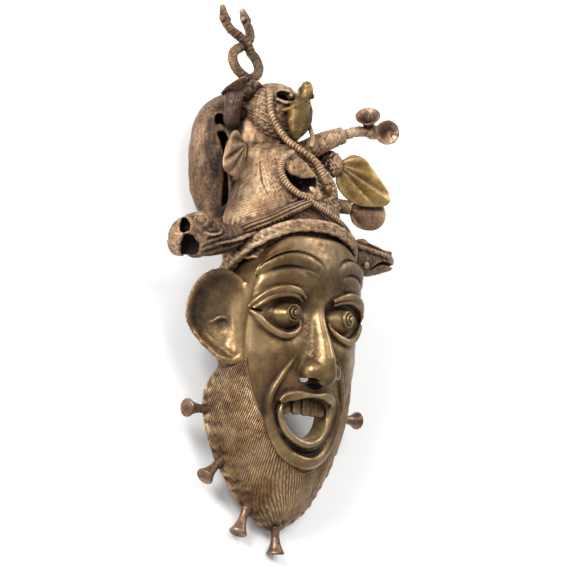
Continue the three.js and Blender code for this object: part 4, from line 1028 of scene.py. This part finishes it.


# painted shade over the face: inside the shell, in the ear's dish, under the nose and the lower lip, in the mouth, over
# the middle and top of the forehead, on the lower cheeks and jaw, in the eye sockets and beside the cheek fold; darker
# on the ear's rim, with a little random tone
def faceShadeAndStain(points, normals):
    x, y, z = points.T
    ax = np.abs(x)
    insideShade = smoothStep(0.1, -0.3, normals[:, 2])
    dish = smoothStep(60, 66, ax) * (0.85 - 0.6 * smoothStep(-34, -46, y))
    shadowUnderNose = np.exp(-(ax / 17) ** 4 - ((y + 83.5) / 4.5) ** 2)
    shadowUnderLip = np.exp(-(ax / 20) ** 4 - ((y + 135 - 0.012 * ax ** 2) / 4) ** 2)
    shadeInMouth = smoothStep(25, 22, np.abs(x - mouth["middle"])) * smoothStep(-112, -108, y) * smoothStep(-90, -93, y) * smoothStep(44, 41, z)
    brow = np.exp(-((x - 6) / 26) ** 2 - ((y + 2) / 15) ** 2) + 0.5 * smoothStep(-6, 12, y)
    jawShade = smoothStep(-60, -80, y) * smoothStep(26, 38, ax)
    oval = ((ax - ear["x"]) / ear["wide"]) ** 2 + ((y - ear["y"]) / ear["tall"]) ** 2
    earRim = smoothStep(0.5, 1.1, oval) * smoothStep(58, 68, ax) * smoothStep(-70, -40, y)
    socketShade = np.exp(-((ax - 36) / 22) ** 2 - ((y - 0.5) / 6) ** 2)
    cheekShade = np.exp(-(lineDistance(ax, y, cheekLine) / 7) ** 2)
    return 0.5 * insideShade + 0.8 * dish + 0.4 * earRim + 0.28 * socketShade + 0.3 * cheekShade + 0.5 * brow + 0.2 * jawShade + 0.55 * shadowUnderNose + 0.4 * shadowUnderLip + 0.22 * shadeInMouth + 0.08 * waves(points, 50, 101)


# the beard's rim is rough and dark, more on its lower near side; surfaces that face back get painted shade
def beardStainAndShade(points, normals):
    rim = lineDistance(points[:, 0], points[:, 1], rimLine[:, :2], 220)
    side = 0.5 + 0.5 * smoothStep(20, -30, points[:, 0])
    spots = 0.8 + 0.4 * waves(points, 26, 103)
    return 0.7 * np.exp(-(rim / 11) ** 2) * side * np.clip(spots, 0, 1) + 0.35 * smoothStep(0.2, -0.4, normals[:, 2]) + 0.1 * waves(points, 40, 102)


# painted shade inside the hood's hollow and round the slots at its front, over an even darker tone that deepens toward
# its foot, with random tone
def hoodShadeAndStain(points, normals):
    x, y, z = points.T
    front = smoothStep(-32, -21, z + 3 * waves(points, 18, 110) + 1.5 * waves(points, 6, 111)) * smoothStep(150, 142, y)
    return 0.7 * facingIn(points, normals, (0, 0, -34)) + 0.34 + 0.62 * front + 0.1 * smoothStep(90, 60, y) + 0.12 * waves(points, 30, 104)


# painted shade inside the column's hollow, in the hole behind the loop and along the near side's edge above y 50;
# darker at the foot and lighter round (50, 104, 20), with random tone
def columnShadeAndStain(points, normals):
    x, y, z = points.T
    edge = z - np.abs(x)
    holeShade = (((x + 9) / 15.6) ** 2 + ((y - 81) / 11.6) ** 2 + ((z - 40) / 20.6) ** 2) < 1
    return 0.9 * facingIn(points, normals, (0, 0, 4)) + holeShade + 0.5 * smoothStep(-30, -44, edge + 4 * waves(points, 14, 112)) * smoothStep(50, 60, y) * smoothStep(10, -10, x) + 0.1 * waves(points, 34, 105) - 0.11 + 0.25 * smoothStep(49, 45, y) - 0.45 * np.exp(-((points - (50, 104, 20)) ** 2).sum(1) / 14 ** 2)


# painted shade inside the dome, in its hole and under its overhanging foot, with random tone
def domeShadeAndStain(points, normals):
    x, y, z = points.T
    holeShade = (((x + 8) / 8.6) ** 2 + ((y - 152) / 6.2) ** 2 + ((z - 22) / 9.6) ** 2) < 1
    return 0.9 * facingIn(points, normals, (0, dome["y"], dome["z"]), False) + 0.14 + 0.8 * holeShade + 0.12 * waves(points, 26, 106) + 0.3 * smoothStep(120, 112, y)


# painted shade in the near head's two hollows and along the far head's mouth slit, over a darker even tone
def headsShadeAndStain(points, normals):
    level = np.array([0.7071, 0, 0.7071])
    stain = 0.5 + 0.12 * waves(points, 20, 107)
    for middle, wide, tall in gapes:
        away = points - np.array(middle)
        along, across = away @ nearWay, away @ level
        up = np.sqrt(np.maximum((away ** 2).sum(1) - along ** 2 - across ** 2, 0))
        stain = np.where(((across / wide) ** 2 + (up / tall) ** 2 < 1.45) & (along > -12) & (along < 8), 1, stain)
    mouthSlitShade = np.exp(-((points[:, 1] - 26) / 1.6) ** 2) * smoothStep(90, 98, points[:, 0])
    return stain + 0.6 * mouthSlitShade


# the near arm is dark, most of all toward its root
def cupsStain(points, normals):
    return 0.25 + smoothStep(10, -10, points[:, 0]) * (0.2 + 0.3 * smoothStep(152, 134, points[:, 1])) + 0.1 * waves(points, 24, 109)


def evenStain(amount):
    return lambda points, normals: amount + 0.12 * waves(points, 24, 108)


def addPiece(name, points, tris, material, attributes=None, limit=195000):
    mesh = bpy.data.meshes.new(name)
    placed = toRow(points)
    placed[:, 2] = np.maximum(placed[:, 2], cadLow[2])  # nothing goes below what it lies on
    mesh.from_pydata(placed, [], tris.tolist())
    mesh.update()
    for key, values in (attributes or {}).items():
        mesh.attributes.new(key, "FLOAT", "POINT").data.foreach_set("value", values.astype(np.float32))
    piece = bpy.data.objects.new(name, mesh)
    bpy.context.scene.collection.objects.link(piece)
    if len(tris) > limit:
        shrink = piece.modifiers.new("fewer", "DECIMATE")
        shrink.ratio = limit / len(tris)
        graph = bpy.context.evaluated_depsgraph_get()
        fewer = bpy.data.meshes.new_from_object(piece.evaluated_get(graph))
        piece.modifiers.clear()
        piece.data = fewer
    piece.data.shade_smooth()
    piece.data.materials.clear()
    piece.data.materials.append(material)
    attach(piece, "root")
    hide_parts("mask")
    return piece


# deep and brown are the colours of patina and of painted shade in hollows; light is the colour of rubbed edges
finishes = {
    "face": {"deep": (28, 20, 14), "brown": (80, 60, 39), "main": (118, 96, 67), "light": (151, 128, 95), "tint": (106, 90, 66), "rub": (152, 124, 80),
             "metal": 0.68, "rough": (0.33, 0.55), "grain": 0.12, "patch": 38, "pits": 0.05},
    "headdress": {"deep": (28, 19, 13), "brown": (88, 67, 50), "main": (136, 111, 86), "light": (192, 164, 134), "tint": (118, 104, 90), "rub": (190, 152, 104),
                  "metal": 0.5, "rough": (0.42, 0.7), "grain": 0.7, "patch": 55, "pits": 0.22},
    "beard": {"deep": (36, 25, 16), "brown": (92, 70, 47), "main": (132, 106, 77), "light": (182, 156, 120), "tint": (112, 90, 66), "rub": (170, 136, 92),
              "metal": 0.6, "rough": (0.4, 0.62), "grain": 0.5, "patch": 45, "pits": 0.15},
    "leaf": {"deep": (44, 34, 18), "brown": (88, 70, 42), "main": (130, 106, 68), "light": (176, 152, 104), "tint": (112, 94, 56), "rub": (168, 136, 78),
             "metal": 0.7, "rough": (0.36, 0.56), "grain": 0.25, "patch": 60, "pits": 0.06},
    "bird": {"deep": (36, 27, 14), "brown": (76, 59, 32), "main": (112, 88, 50), "light": (160, 132, 82), "tint": (92, 78, 42), "rub": (150, 118, 60),
             "metal": 0.7, "rough": (0.36, 0.56), "grain": 0.3, "patch": 60, "pits": 0.08},
    "bell": {"deep": (30, 20, 15), "brown": (62, 45, 36), "main": (92, 70, 56), "light": (150, 124, 104), "tint": (84, 62, 42), "rub": (140, 104, 80),
             "metal": 0.7, "rough": (0.34, 0.52), "grain": 0.25, "patch": 70, "pits": 0.1},
}


# one of the screen's colours as the light it stands for
def colour(values):
    v = np.array(values) / 255
    return (*np.where(v < 0.04045, v / 12.92, ((v + 0.055) / 1.055) ** 2.4), 1)


# old brass: a ramp from rubbed to dirty over the wear, which carries patina and painted shade, stained by two noises,
# rougher and duller where it is dirty or shaded
def brassMaterial(name, look):
    material = bpy.data.materials.new(name)
    material.use_nodes = True
    nodes, links = material.node_tree.nodes, material.node_tree.links
    shader = nodes["Principled BSDF"]
    place = nodes.new("ShaderNodeTexCoord").outputs["Object"]

    def noise(scale, detail, rough=0.55, warp=0.0):
        made = nodes.new("ShaderNodeTexNoise")
        made.inputs["Scale"].default_value, made.inputs["Detail"].default_value = scale, detail
        made.inputs["Roughness"].default_value, made.inputs["Distortion"].default_value = rough, warp
        links.new(place, made.inputs["Vector"])
        return made.outputs["Fac"]

    def maths(kind, a, b):
        made = nodes.new("ShaderNodeMath")
        made.operation = kind
        for socketShade, value in zip(made.inputs, (a, b)):
            if isinstance(value, (int, float)):
                socketShade.default_value = value
            else:
                links.new(value, socketShade)
        return made.outputs[0]

    def spread(value, low, high, toLow, toHigh):
        made = nodes.new("ShaderNodeMapRange")
        for key, number in zip(("From Min", "From Max", "To Min", "To Max"), (low, high, toLow, toHigh)):
            made.inputs[key].default_value = number
        links.new(value, made.inputs["Value"])
        return made.outputs[0]

    def ramp(value, stops):
        made = nodes.new("ShaderNodeValToRGB")
        while len(made.color_ramp.elements) < len(stops):
            made.color_ramp.elements.new(0.5)
        for element, (at, shade) in zip(made.color_ramp.elements, stops):
            element.position, element.color = at, shade
        links.new(value, made.inputs["Fac"])
        return made.outputs["Color"]

    def mix(kind, share, a, b):
        made = nodes.new("ShaderNodeMix")
        made.data_type, made.blend_type = "RGBA", kind
        links.new(share, made.inputs[0]) if not isinstance(share, float) else setattr(made.inputs[0], "default_value", share)
        for socketShade, value in ((made.inputs[6], a), (made.inputs[7], b)):
            if isinstance(value, tuple):
                socketShade.default_value = value
            else:
                links.new(value, socketShade)
        return made.outputs[2]

    # the wear attribute: rubbed edges, and patina with painted shade in hollows
    worn = nodes.new("ShaderNodeAttribute")
    worn.attribute_name = "wearAndShade"
    stain, blotch, grain = noise(look["patch"], 5, 0.6, 0.4), noise(look["patch"] * 6, 4, 0.6), noise(1500, 3)
    dirtAndShade = maths("ADD", maths("MULTIPLY_ADD", worn.outputs["Fac"], 0.5), 0.0)
    dirtAndShade.node.inputs[0].links[0].from_node.inputs[2].default_value = 0.5
    dirtAndShade = maths("ADD", dirtAndShade, maths("MULTIPLY", maths("SUBTRACT", blotch, 0.5), 0.5))
    pits = maths("MULTIPLY", spread(noise(700, 2), 0.30, 0.42, 1.0, 0.0), look["pits"])
    dirtAndShade = maths("ADD", dirtAndShade, pits)
    # the ramp paints patina and shade: deep and brown where the attribute marks a hollow
    base = ramp(dirtAndShade, [(0.14, colour(look["light"])), (0.4, colour(look["main"])), (0.64, colour(look["brown"])), (0.9, colour(look["deep"]))])
    rubbed = maths("MULTIPLY", spread(noise(look["patch"] * 1.8, 3, 0.6), 0.45, 0.7, 0.0, 0.7), spread(dirtAndShade, 0.3, 0.5, 1.0, 0.0))
    base = mix("MIX", rubbed, base, colour(look["rub"]))
    tinted = mix("MIX", spread(stain, 0.42, 0.62, 0.0, 0.7), base, mix("MULTIPLY", 1.0, base, colour(np.array(look["tint"]) * 1.45)))
    links.new(tinted, shader.inputs["Base Color"])
    links.new(maths("ADD", spread(dirtAndShade, 0.3, 0.8, *look["rough"]), maths("MULTIPLY", maths("SUBTRACT", blotch, 0.5), 0.25)), shader.inputs["Roughness"])
    links.new(spread(dirtAndShade, 0.35, 0.85, look["metal"], look["metal"] * 0.25), shader.inputs["Metallic"])
    shader.inputs["Specular IOR Level"].default_value = 0.25
    bump = nodes.new("ShaderNodeBump")
    bump.inputs["Strength"].default_value = look["grain"]
    bump.inputs["Distance"].default_value = 0.0006
    links.new(maths("ADD", grain, maths("MULTIPLY", blotch, 0.8)), bump.inputs["Height"])
    links.new(bump.outputs["Normal"], shader.inputs["Normal"])
    return material


# each piece's finish, its stain and painted shade, how far its grooves darken it (patina and painted shade) and the
# most triangles it may have
looks = {
    "faceShell": ("face", faceShadeAndStain, 0.45, 190000), "beardHair": ("beard", beardStainAndShade, 1.0, 150000),
    "headdressHood": ("headdress", hoodShadeAndStain, 1.0, 80000), "headdressColumn": ("headdress", columnShadeAndStain, 1.0, 130000),
    "headdressDome": ("headdress", domeShadeAndStain, 0.7, 80000), "serpentRopes": ("headdress", evenStain(0.5), 1.0, 70000),
    "serpentHeads": ("headdress", headsShadeAndStain, 0.8, 60000), "hangingRing": ("headdress", evenStain(0.9), 0.8, 40000),
    "arms": ("headdress", evenStain(0.05), 1.0, 20000), "cups": ("bell", cupsStain, 0.6, 40000),
    "leaves": ("leaf", evenStain(0.12), 0.5, 20000), "dullLeaves": ("headdress", evenStain(0.4), 0.7, 40000),
    "pupils": ("face", evenStain(0.1), 0.4, 20000), "bird": ("bird", evenStain(0.45), 0.5, 20000), "flaps": ("headdress", evenStain(0.1), 0.8, 10000), "bells": ("bell", evenStain(0.0), 0.6, 20000),
}
materials = {name: brassMaterial(name + "Brass", look) for name, look in finishes.items()}
total = 0
for name, (points, tris) in made.items():
    finish, stain, sharp, limit = looks[name]
    piece = addPiece(name, points, tris, materials[finish], {"wearAndShade": wearAndShadeOf(points, tris, stain, sharp)}, limit)
    total += len(piece.data.polygons)
    print("piece", name, finish, len(piece.data.polygons), "triangles")
print("triangles in all", total)


# ---- camera, light and floor
view = {"turn": 45, "rise": -8, "target": (0, 0, 12), "distance": 1700, "lens": 134.2}


# the camera stands at the photograph's angle to the mask, which lies: its axes are laid down with the mask
def placeCamera():
    t, r = np.radians(view["turn"]), np.radians(view["rise"])
    back = np.array([-np.sin(t) * np.cos(r), np.sin(r), np.cos(t) * np.cos(r)])
    right = np.array([np.cos(t), 0, np.sin(t)])
    up = np.cross(back, right)
    origin = toRow(np.zeros(3))
    axes = [(toRow(v) - origin) * 1000 for v in (right, up, back)]
    place = toRow(np.array(view["target"]) + view["distance"] * back)
    camera = bpy.data.objects.new("camera", bpy.data.cameras.new("camera"))
    camera.data.lens = view["lens"]
    camera.data.sensor_width = 36
    camera.data.clip_end = 20
    camera.matrix_world = Matrix([[*(a[k] for a in axes), place[k]] for k in range(3)] + [[0, 0, 0, 1]])
    bpy.context.scene.collection.objects.link(camera)
    bpy.context.scene.camera = camera
    return place


def addLamp(name, place, aim, size, power, colour=(1, 1, 1)):
    lamp = bpy.data.lights.new(name, "AREA")
    lamp.shape, lamp.size, lamp.energy, lamp.color = "DISK", size, power, colour
    holder = bpy.data.objects.new(name, lamp)
    place, aim = np.array(place, float), np.array(aim, float)
    back = (place - aim) / np.linalg.norm(place - aim)
    right = np.cross((0.1, 1, 0.2), back)
    right /= np.linalg.norm(right)
    up = np.cross(back, right)
    holder.matrix_world = Matrix([[right[k], up[k], back[k], place[k]] for k in range(3)] + [[0, 0, 0, 1]])
    bpy.context.scene.collection.objects.link(holder)


def addFloor():
    mesh = bpy.data.meshes.new("floor")
    s = 6.0
    mesh.from_pydata([(-s, -s, 0), (s, -s, 0), (s, s, 0), (-s, s, 0)], [], [(0, 1, 2, 3)])
    floor = bpy.data.objects.new("floor", mesh)
    paint = bpy.data.materials.new("paleFloor")
    paint.use_nodes = True
    shader = paint.node_tree.nodes["Principled BSDF"]
    shader.inputs["Base Color"].default_value = (0.93, 0.93, 0.925, 1)
    shader.inputs["Roughness"].default_value = 0.8
    mesh.materials.append(paint)
    bpy.context.scene.collection.objects.link(floor)


placeCamera()
addFloor()
addLamp("keyLight", (-1.35, 0.5, 0.8), (0, 0, 0.05), 0.7, 36)
addLamp("rimLight", (1.0, 0.6, 1.1), (0, 0, 0.05), 0.6, 9)
addLamp("topLight", (-0.3, 0.5, 1.7), (0, 0, 0.05), 1.0, 10)
world = bpy.data.worlds.new("studio")
bpy.context.scene.world = world
world.use_nodes = True
world.node_tree.nodes["Background"].inputs["Color"].default_value = (1.0, 1.0, 1.0, 1)
world.node_tree.nodes["Background"].inputs["Strength"].default_value = 0.55
bpy.context.scene.view_settings.view_transform = "Standard"
print("camera, light and floor")
